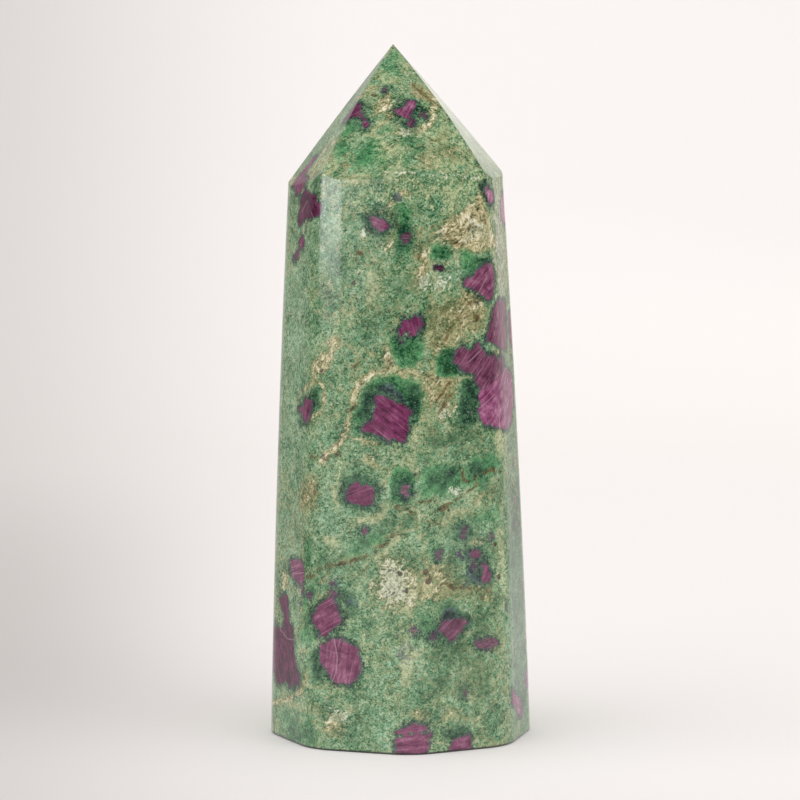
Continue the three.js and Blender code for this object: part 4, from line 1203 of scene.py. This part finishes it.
def shared_noises(shader, place, drifted, level, shade, fine, spark):
    """The noises that the markings share, from the ground's own level and flakes."""
    blotches = shader.cloud(place, 3.2, detail=4, roughness=0.62, distortion=0.6, spread=0.55)
    fibres = shader.cloud(shader.lean(drifted, 40, 4), 0.8, detail=3, spread=0.4)
    speckle = shader.total(blotches, fibres, shader.math("MULTIPLY_ADD", shade, 0.3, -0.15))
    soft_speckle = shader.total(blotches, shader.cloud(place, 1.0, detail=2, spread=0.2))
    broken = shader.total(speckle, shader.math("MULTIPLY", fibres, 1.2))
    clouding = shader.cloud(place, 2.2, detail=4, roughness=0.65, spread=0.6)
    mottle = shader.total(level, clouding)
    ruby_distance = shader.step(shader.attribute("ruby"), 0.0, 6.0, -0.22, 0.12)
    clear = shader.total(shader.math("MULTIPLY_ADD", level, 0.55, 0.24), clouding, ruby_distance)
    return Noises(place, drifted, shade, fine, spark, speckle, soft_speckle, broken, mottle, clear)


def zone_share(shader, kind, speckle, low=0.34, high=0.62):
    """How much of a zone's colour shows: its level, broken up by the speckle."""
    level = shader.attribute(kind)
    share = shader.step(shader.total(level, speckle), low, high)
    return shader.math("MULTIPLY", share, shader.step(level, 0.0, 0.15))


def mica_sheaves(shader, settings, noises):
    """Pale mica in leaning, curling strands with brown and green between them."""
    leaning = shader.lean(noises.drifted, 42, 5)
    strands = shader.cloud(leaning, 0.7, detail=5, roughness=0.66, distortion=0.6, spread=1.1)
    lumps = shader.cloud(noises.drifted, 2.4, detail=4, roughness=0.65, spread=0.7)
    grain = shader.math("MULTIPLY_ADD", noises.shade, 0.2, -0.23)
    grain = shader.math("MULTIPLY_ADD", noises.fine, 0.26, grain)
    depth = shader.total(strands, lumps, grain, 0.6)
    return shader.ramp(
        depth,
        (
            (0.0, colour(62, 56, 34)),
            (0.2, colour(98, 104, 70)),
            (0.4, colour(146, 146, 108)),
            (0.6, settings.cream),
            (0.8, colour(212, 202, 160)),
            (1.0, colour(236, 230, 204)),
        ),
    )


def lay_zones(shader, settings, tint, noises):
    """Lays the zones over the ground, one kind after the other."""
    mottle, clear = noises.mottle, noises.clear
    speckle, soft_speckle, broken = noises.speckle, noises.soft_speckle, noises.broken

    def zone(kind, under, dark, pale, amount=1.0, body=mottle, edge=speckle, low=0.34, high=0.62):
        share = shader.math("MULTIPLY", zone_share(shader, kind, edge, low, high), amount)
        depth = shader.math("MULTIPLY_ADD", shader.attribute(kind), -0.5, shader.total(body, 0.28))
        return shader.mix(share, under, shader.mix(depth, dark, pale))

    tint = zone("teal", tint, colour(84, 136, 98), colour(170, 200, 166), 0.8, mottle, speckle, 0.25, 0.95)
    tint = zone("pale", tint, colour(116, 142, 98), colour(204, 212, 164), 0.8)
    tint = zone("olive", tint, colour(76, 88, 52), colour(166, 166, 120), 0.8)
    tint = zone("tan", tint, colour(110, 92, 56), colour(190, 176, 132), 0.7)

    # The cream mica, in a broader border of brown and olive.
    cream_border = shader.math("MULTIPLY", zone_share(shader, "cream", speckle, 0.12, 0.4), 0.6)
    tint = shader.mix(cream_border, tint, shader.mix(mottle, colour(84, 86, 50), colour(172, 168, 120)))
    cream = zone_share(shader, "cream", broken, 0.42, 0.72)
    tint = shader.mix(cream, tint, mica_sheaves(shader, settings, noises))

    # A pale seam runs along the edges of the emerald and dark zones, here and there.
    seam = shader.math("MAXIMUM", shader.attribute("emerald"), shader.attribute("dark"))
    seam = shader.total(seam, shader.math("MULTIPLY", speckle, 0.12))
    here_and_there = shader.step(shader.cloud(noises.place, 6, detail=3), -0.1, 0.25, 0.1, 0.7)
    seam = shader.product(shader.step(seam, 0.0, 0.07), shader.step(seam, 0.26, 0.14), here_and_there)
    tint = shader.mix(seam, tint, shader.mix(mottle, colour(132, 146, 98), colour(206, 206, 164)))

    soft = (clear, soft_speckle, 0.2, 0.85)
    tint = zone("emerald", tint, colour(0, 66, 36), colour(108, 176, 118), 0.95, *soft)
    tint = zone("dark", tint, colour(2, 46, 32), colour(88, 138, 96), 0.93, *soft)
    tint = zone("blue", tint, colour(34, 46, 54), colour(104, 126, 126), 0.85, clear, soft_speckle)
    tint = zone("white", tint, colour(146, 156, 122), colour(230, 232, 210), 0.9, mottle, broken)
    tint = zone("brown", tint, colour(36, 30, 12), colour(112, 98, 58), 0.9, mottle, broken, 0.26, 0.66)

    # Painted glints: a few flakes are painted bright, as mica that catches the light. A few dark flakes are
    # the stone's own.
    tint = shader.mix(shader.step(noises.spark, 0.965, 0.99, 0.0, 0.2), tint, colour(214, 218, 200))
    return shader.mix(shader.step(noises.spark, 0.06, 0.02, 0.0, 0.6), tint, colour(26, 50, 34))


def ruby_crystal(shader, settings, noises, tone, vivid):
    """The inside of the rubies: streaked along the grain, with pale scratches along and across it."""
    grain_place = shader.attribute("ruby_grain", "Vector")

    def streaks(along, across, size, spread):
        return shader.cloud(shader.place((along, across, 1), source=grain_place), size, 4, 0.6, 0.0, spread)

    depth = shader.total(
        streaks(0.2, 1.3, 1.0, 0.42),
        shader.cloud(noises.place, 2.6, detail=5, roughness=0.62, distortion=0.4, spread=0.42),
        shader.math("MULTIPLY_ADD", noises.fine, 0.16, -0.08),
        tone,
    )
    magenta = shader.ramp(
        depth,
        (
            (0.05, colour(62, 18, 46)),
            (0.3, settings.ruby),
            (0.55, colour(132, 62, 102)),
            (0.8, colour(172, 110, 144)),
            (1.0, colour(208, 160, 184)),
        ),
    )
    plum = shader.ramp(
        depth,
        (
            (0.05, colour(56, 30, 46)),
            (0.35, colour(98, 58, 78)),
            (0.65, colour(138, 96, 112)),
            (1.0, colour(186, 156, 164)),
        ),
    )
    crystal = shader.mix(vivid, plum, magenta)
    scratches = shader.math(
        "MAXIMUM",
        shader.step(streaks(0.05, 2.2, 0.7, 1.0), 0.24, 0.42, 0.0, 0.5),
        shader.step(streaks(2.0, 0.07, 0.9, 1.0), 0.34, 0.5, 0.0, 0.18),
    )
    scratches = shader.math("MULTIPLY", scratches, shader.step(tone, 0.0, 0.5, 0.35, 1.0))
    return shader.mix(scratches, crystal, colour(196, 150, 174))


def lay_rubies(shader, settings, tint, noises):
    """Lays the rubies over the zones, each in a dark rim of uneven width with a thin grey-blue fringe."""
    look = shader.add("ShaderNodeSeparateXYZ", {"Vector": shader.attribute("ruby_look", "Vector")})
    tone, vivid, rim_width = look.outputs
    show = shader.attribute("ruby_show")
    edge = shader.total(
        shader.attribute("ruby"),
        shader.cloud(noises.place, 2.4, detail=4, roughness=0.6, spread=1.3),
        shader.cloud(noises.place, 0.8, detail=2, spread=0.6),
        shader.math("MULTIPLY_ADD", noises.fine, 0.5, -0.25),
    )

    reach = shader.math("MULTIPLY", rim_width, shader.cloud(noises.place, 4, detail=3, spread=2.2))
    rim = shader.math("DIVIDE", shader.math("SUBTRACT", edge, reach), rim_width)
    rim = shader.math("MULTIPLY", shader.step(rim, 0.3, 3.1, 0.92, 0.0), show)
    halo = shader.mix(shader.step(noises.mottle, 0.2, 0.9), colour(10, 40, 32), colour(70, 112, 82))
    tint = shader.mix(rim, tint, halo)

    gap = shader.step(noises.speckle, 0.3, -0.3, 0.2, 0.9)
    gap = shader.math("MULTIPLY", shader.step(edge, 0.1, 0.9), gap)
    fringe = shader.math("SUBTRACT", shader.step(noises.speckle, 0.3, -0.3, 0.1, 0.85), gap)
    fringe = shader.math("MULTIPLY", fringe, shader.step(edge, 1.0, 0.2))
    tint = shader.mix(fringe, tint, colour(62, 66, 84))

    cloudy = shader.math("MULTIPLY_ADD", noises.speckle, shader.math("SUBTRACT", 1.0, show), show)
    inside = shader.math("MULTIPLY", shader.step(edge, 0.3, -0.3), cloudy)
    return shader.mix(inside, tint, ruby_crystal(shader, settings, noises, tone, vivid))


def lay_cracks(shader, tint):
    """Draws the fine light cracks."""
    side = shader.math("ABSOLUTE", shader.attribute("crack_side"))
    near = shader.step(shader.attribute("crack_near"), 0.9, 0.6)
    line = shader.math("MULTIPLY", shader.step(side, 0.18, 0.04), near)
    return shader.mix(shader.math("MULTIPLY", line, 0.4), tint, colour(204, 176, 182))


def polish(shader, settings, noises, hole):
    """Gives the surface its gloss and fine waves, with dull, sunken pits."""
    wear = shader.cloud(noises.place, 3.5, spread=0.08)
    roughness = shader.total(shader.math("MULTIPLY", hole, 0.4), wear, settings.gloss)
    shader.feed(shader.surface["Roughness"], roughness)
    shader.feed(shader.surface["IOR"], STONE_IOR)
    waves = shader.noise(noises.place, 9, detail=2, roughness=0.4)
    waves = shader.add("ShaderNodeBump", {"Height": waves, "Distance": WAVE_HEIGHT * MM}).outputs["Normal"]
    dents = shader.math("MULTIPLY_ADD", hole, -1.0, shader.math("MULTIPLY", noises.fine, 0.01))
    dents = shader.add("ShaderNodeBump", {"Height": dents, "Distance": PIT_DEPTH * MM, "Normal": waves})
    shader.feed(shader.surface["Normal"], dents.outputs["Normal"])


def ruby_fuchsite(settings):
    """The stone's material."""
    shader = Shader("ruby_fuchsite")
    place = shader.place()
    drifted = shader.drift(place, 7, 6)
    tint, level, shade, fine, spark = fuchsite_ground(shader, settings, place, drifted)
    noises = shared_noises(shader, place, drifted, level, shade, fine, spark)
    tint = lay_zones(shader, settings, tint, noises)
    tint = lay_rubies(shader, settings, tint, noises)
    tint = lay_cracks(shader, tint)
    # Painted shade: the pits are darkened as if shaded inside their hollows. The same dark colour also gives
    # the stone's own small dark specks.
    hole = shader.total(shader.attribute("pit"), shader.math("MULTIPLY", noises.broken, 0.9))
    hole = shader.step(hole, 0.46, 0.8)
    tint = shader.mix(shader.math("MULTIPLY", hole, 0.85), tint, colour(60, 50, 34))

    # Painted shade: the fine bevel at the foot, which faces down, is darkened as if it lay in shadow.
    height = shader.add("ShaderNodeSeparateXYZ", {"Vector": place}).outputs["Z"]
    tint = shader.mix(shader.step(height, 0.8, 0.25, 0.0, 0.92), tint, colour(14, 24, 24))
    shader.feed(shader.surface["Base Color"], tint)
    polish(shader, settings, noises, hole)
    return shader.material


def backdrop_material(settings):
    """A matt pale sheet with painted light of its own, and painted shade towards both sides of the front
    view.
    """
    shader = Shader("backdrop")
    spot = shader.add("ShaderNodeTexCoord").outputs["Object"]
    spot = shader.add("ShaderNodeSeparateXYZ", {"Vector": spot})

    # How far behind the stone a spot lies, and how far to the side for each metre from the camera.
    back = spot.outputs["Y"]
    slant = shader.math("DIVIDE", spot.outputs["X"], shader.math("ADD", back, settings.camera_distance))
    slant = shader.math("MULTIPLY", slant, shader.step(back, -0.45, -0.15))
    # Painted shade: the sheet darkens towards the left, the right and far to the left of the view, on the
    # floor just in front of the stone, and on the floor behind on the left.
    left = shader.step(slant, -0.2, 0.0, settings.left_fade, 1.0)
    right = shader.step(slant, 0.17, 0.34, 1.0, settings.right_fade)
    far = shader.step(slant, -0.7, -0.25, settings.far_fade, 1.0)
    near = shader.step(back, -0.14, -0.03, settings.near_fade, 1.0)
    behind = shader.math("MULTIPLY", shader.step(back, -0.1, 0.12), shader.step(back, 0.8, 0.2))
    shaded = shader.math("MULTIPLY", behind, shader.step(slant, -0.03, -0.15))
    floor = shader.math("MULTIPLY_ADD", shaded, -settings.floor_shade, 1.0)
    bright = shader.product(left, right, far, near, floor)
    tint = shader.mix(bright, PAINTED_SHADE_TINT, tuple(settings.backdrop))
    shader.feed(shader.surface["Base Color"], tint)
    # Painted light: the sheet's own emission brightens it, in place of light from behind.
    shader.feed(shader.surface["Emission Color"], tint)
    shader.feed(shader.surface["Emission Strength"], settings.painted_glow)
    shader.feed(shader.surface["Roughness"], 0.9)
    shader.feed(shader.surface["Specular IOR Level"], 0.1)
    return shader.material


# ---------------------------------------------------------------------------------------------------------
# The settings that a user would change.


class StoneSettings(bpy.types.PropertyGroup):
    """The stone's sizes and colours."""

    edge_radius: bpy.props.FloatProperty(
        name="Edge radius", description="Rounding of the upright edges",
        default=14 * MM, min=0.002, unit="LENGTH"
    )
    swell: bpy.props.FloatProperty(
        name="Swell", description="How far the tall faces swell out half way up",
        default=0.52 * MM, unit="LENGTH"
    )
    foot_chamfer: bpy.props.FloatProperty(
        name="Foot bevel", description="The fine bevel round the foot", default=0.5 * MM, unit="LENGTH"
    )
    gloss: bpy.props.FloatProperty(
        name="Roughness", description="Roughness of the polish",
        default=0.15, min=0.05, max=0.6, subtype="FACTOR"
    )
    ground_green: bpy.props.FloatVectorProperty(
        name="Fuchsite", description="Middle green of the ground", subtype="COLOR",
        default=colour(110, 143, 102)
    )
    ground_dark: bpy.props.FloatVectorProperty(
        name="Dark flakes", description="Darkest flakes of the ground", subtype="COLOR",
        default=colour(36, 76, 48)
    )
    ground_pale: bpy.props.FloatVectorProperty(
        name="Pale flakes", description="Palest flakes of the ground", subtype="COLOR",
        default=colour(174, 188, 156)
    )
    ruby: bpy.props.FloatVectorProperty(
        name="Ruby", description="Body colour of the rubies", subtype="COLOR", default=colour(106, 40, 78)
    )
    cream: bpy.props.FloatVectorProperty(
        name="Cream mica", description="The pale patches and veins", subtype="COLOR",
        default=colour(190, 176, 134)
    )


class StudioSettings(bpy.types.PropertyGroup):
    """The backdrop and the lights."""

    backdrop: bpy.props.FloatVectorProperty(
        name="Backdrop", description="Colour of the paper", subtype="COLOR", default=(0.865, 0.832, 0.818)
    )
    # Painted shade on the sheet: how bright it stays where it is darkened towards the sides and on the floor.
    left_fade: bpy.props.FloatProperty(
        name="Left fade", description="How bright the sheet is at the left", default=0.715, min=0, max=1
    )
    far_fade: bpy.props.FloatProperty(
        name="Far fade", description="How bright the sheet is beyond the left of the picture",
        default=0.58, min=0, max=1
    )
    near_fade: bpy.props.FloatProperty(
        name="Near fade", description="How bright the floor is in front of the stone",
        default=0.92, min=0, max=1
    )
    floor_shade: bpy.props.FloatProperty(
        name="Floor shade", description="How much darker the floor is behind on the left",
        default=0.15, min=0, max=1
    )
    right_fade: bpy.props.FloatProperty(
        name="Right fade", description="How bright the sheet is far to the right", default=0.6, min=0, max=1
    )
    # Painted light: the strength of the sheet's own emission, in place of light from behind.
    painted_glow: bpy.props.FloatProperty(
        name="Glow", description="How strongly the sheet is lit from behind", default=0.12, min=0
    )
    surround: bpy.props.FloatProperty(
        name="Surround", description="Strength of the even light from all round", default=0.85, min=0
    )
    softbox_power: bpy.props.FloatProperty(
        name="Softbox", description="Power of the big softbox on the left", default=8.0, min=0, unit="POWER"
    )
    key_power: bpy.props.FloatProperty(
        name="Key light", description="Power of the soft light round the softbox",
        default=4.9, min=0, unit="POWER"
    )
    back_power: bpy.props.FloatProperty(
        name="Back light", description="Power of the light behind on the right",
        default=0.38, min=0, unit="POWER"
    )
    sweep_power: bpy.props.FloatProperty(
        name="Sweep light", description="Power of the light on the sheet behind",
        default=2.4, min=0, unit="POWER"
    )
    front_power: bpy.props.FloatProperty(
        name="Front light", description="Power of the light above the camera",
        default=4.0, min=0, unit="POWER"
    )
    camera_distance: bpy.props.FloatProperty(
        name="Camera distance", description="From the stone's middle", default=0.65455, unit="LENGTH"
    )
    camera_height: bpy.props.FloatProperty(
        name="Camera height", description="Above the foot", default=0.12597, unit="LENGTH"
    )
    camera_tilt: bpy.props.FloatProperty(
        name="Camera tilt", description="How far it looks down", default=math.radians(3.8), subtype="ANGLE"
    )
    lens: bpy.props.FloatProperty(
        name="Lens", description="Focal length on a frame 36 mm wide", default=119.25, min=10
    )


# ---------------------------------------------------------------------------------------------------------
# One operator for the stone and one for the studio. The studio's sizes and places are in metres.

SHEET_SIZE = 9.0  # the backdrop's breadth and depth on the floor
SHEET_MIDDLE = -2.3  # where the middle of that floor lies: in front of the stone
SHEET_RISE = 3.0  # how high the backdrop rises behind
SWEEP_RADIUS = 1.4  # the bend between floor and rise
SENSOR_WIDTH = 36  # in millimetres
SWEEP_TILT = 42  # degrees: the sweep light faces the sheet behind, not the stone
BACK_COLOUR = (1.0, 0.91, 0.76)  # the back light is warm
SURROUND_COLOUR = (1.0, 0.995, 0.99)

# The lights. size is a light's breadth and height, and aim is the height on the stone's axis that it faces.
Lamp = namedtuple("Lamp", "name place size aim")
SOFTBOX = Lamp("softbox", (-0.883, -0.469, 0.45), (0.89, 0.55), 0.45)
KEY_LIGHT = Lamp("key_light", (-1.02, -0.46, 0.66), (1.8, 1.4), 0.1)
BACK_LIGHT = Lamp("back_light", (0.46, 1.16, 0.55), (0.6, 0.5), 0.16)
SWEEP_LIGHT = Lamp("sweep_light", (0, 0.8, 1.3), (1.6, 0.4), 0.3)
FRONT_LIGHT = Lamp("front_light", (0.9, -0.72, 0.8), (1.2, 1.0), 0.1)


def hang(lamp, power):
    """Hangs a rectangular light that faces the stone's axis at a height."""
    bpy.ops.object.light_add(type="AREA", location=lamp.place)
    light = bpy.context.object
    light.name = light.data.name = lamp.name
    light.data.shape = "RECTANGLE"
    light.data.size, light.data.size_y = lamp.size
    light.data.energy = power
    aim = Vector((0, 0, lamp.aim)) - Vector(lamp.place)
    light.rotation_euler = aim.to_track_quat("-Z", "Y").to_euler()
    return light


class STONE_OT_tower(bpy.types.Operator):
    """Model the tower, draw its markings and give it its material"""

    bl_idname = "stone.tower"
    bl_label = "Ruby Fuchsite Tower"

    def execute(self, context):
        settings = context.scene.stone
        bpy.ops.object.select_all(action="DESELECT")
        first_radius = EDGES[0].foot_radius * MM
        bpy.ops.mesh.primitive_circle_add(vertices=len(EDGES), radius=first_radius, fill_type="NGON")
        tower = context.object
        tower.name = tower.data.name = "ruby_fuchsite_tower"
        bpy.ops.object.mode_set(mode="EDIT")
        cut_blank(tower, settings)
        tip = grind_point(tower, settings)
        finish_foot(tower, settings)
        divide_surface(tower, tip)
        bpy.ops.object.mode_set(mode="OBJECT")
        swell_stone(tower, settings)
        bpy.ops.object.shade_smooth()
        draw_markings(tower.data)
        tower.data.materials.append(ruby_fuchsite(settings))
        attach(tower, "root")
        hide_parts(NODE)
        return {"FINISHED"}


class STONE_OT_studio(bpy.types.Operator):
    """Lay the backdrop, hang the lights and set the camera"""

    bl_idname = "stone.studio"
    bl_label = "Studio"

    def execute(self, context):
        settings = context.scene.studio
        self.lay_backdrop(context, settings)
        self.light(context, settings)
        self.aim_camera(context, settings)
        return {"FINISHED"}

    def lay_backdrop(self, context, settings):
        """A sheet of paper that runs back along the floor and sweeps up behind."""
        bpy.ops.object.select_all(action="DESELECT")
        bpy.ops.mesh.primitive_plane_add(size=SHEET_SIZE, location=(0, SHEET_MIDDLE, 0))
        sheet = context.object
        sheet.name = sheet.data.name = "backdrop"
        bpy.ops.object.transform_apply(location=True, rotation=True, scale=True)
        bpy.ops.object.mode_set(mode="EDIT")

        def far_edge(edge):
            return all(vertex.co.y > 1 and vertex.co.z < 0.1 for vertex in edge.verts)

        select(sheet, "edges", far_edge)
        bpy.ops.mesh.extrude_edges_move(TRANSFORM_OT_translate={"value": (0, 0, SHEET_RISE)})
        select(sheet, "edges", far_edge)
        bpy.ops.mesh.bevel(affect="EDGES", offset=SWEEP_RADIUS, segments=24, profile=0.5)
        bpy.ops.object.mode_set(mode="OBJECT")
        bpy.ops.object.shade_smooth()
        sheet.data.materials.append(backdrop_material(settings))
        sheet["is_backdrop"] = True

    def light(self, context, settings):
        """Even light from all round, a softbox that the polish mirrors, and four soft lights round it."""
        world = bpy.data.worlds.new("surround")
        world.use_nodes = True
        background = world.node_tree.nodes["Background"].inputs
        background["Color"].default_value = (*SURROUND_COLOUR, 1)
        background["Strength"].default_value = settings.surround
        context.scene.world = world
        world.cycles_visibility.glossy = False
        hang(SOFTBOX, settings.softbox_power).visible_diffuse = False
        hang(KEY_LIGHT, settings.key_power).visible_glossy = False
        hang(BACK_LIGHT, settings.back_power).data.color = BACK_COLOUR
        sweep = hang(SWEEP_LIGHT, settings.sweep_power)
        sweep.rotation_euler = (math.radians(SWEEP_TILT), 0, 0)
        sweep.visible_glossy = False
        hang(FRONT_LIGHT, settings.front_power).visible_glossy = False

    def aim_camera(self, context, settings):
        """A camera in front of the stone that looks a little down."""
        bpy.ops.object.camera_add(
            location=(0, -settings.camera_distance, settings.camera_height),
            rotation=(math.pi / 2 - settings.camera_tilt, 0, 0),
        )
        camera = context.object
        camera.name = camera.data.name = "camera"
        camera.data.sensor_width = SENSOR_WIDTH
        camera.data.lens = settings.lens
        camera.data.clip_start = 0.01
        context.scene.camera = camera
        context.scene.view_settings.view_transform = "Standard"


class STONE_PT_panel(bpy.types.Panel):
    """The sidebar's list of what can be made and changed"""

    bl_idname = "STONE_PT_panel"
    bl_label = "Ruby Fuchsite"
    bl_space_type = "VIEW_3D"
    bl_region_type = "UI"
    bl_category = "Ruby Fuchsite"

    def draw(self, context):
        scene = context.scene
        for operator, settings in ((STONE_OT_tower, scene.stone), (STONE_OT_studio, scene.studio)):
            column = self.layout.column(align=True)
            column.operator(operator.bl_idname)
            for name in settings.bl_rna.properties.keys():
                if name not in ("rna_type", "name"):
                    column.prop(settings, name)


CLASSES = (StoneSettings, StudioSettings, STONE_OT_tower, STONE_OT_studio, STONE_PT_panel)


def register():
    for cls in CLASSES:
        bpy.utils.register_class(cls)
    bpy.types.Scene.stone = bpy.props.PointerProperty(type=StoneSettings)
    bpy.types.Scene.studio = bpy.props.PointerProperty(type=StudioSettings)


def unregister():
    del bpy.types.Scene.stone
    del bpy.types.Scene.studio
    for cls in reversed(CLASSES):
        bpy.utils.unregister_class(cls)


def main():
    register()
    bpy.ops.stone.tower()
    bpy.ops.stone.studio()
    boxes = {"cad": CAD_BOX, "visual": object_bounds()}
    boxes = {name: [[float(value) for value in corner] for corner in box] for name, box in boxes.items()}


if __name__ == "__main__":
    main()
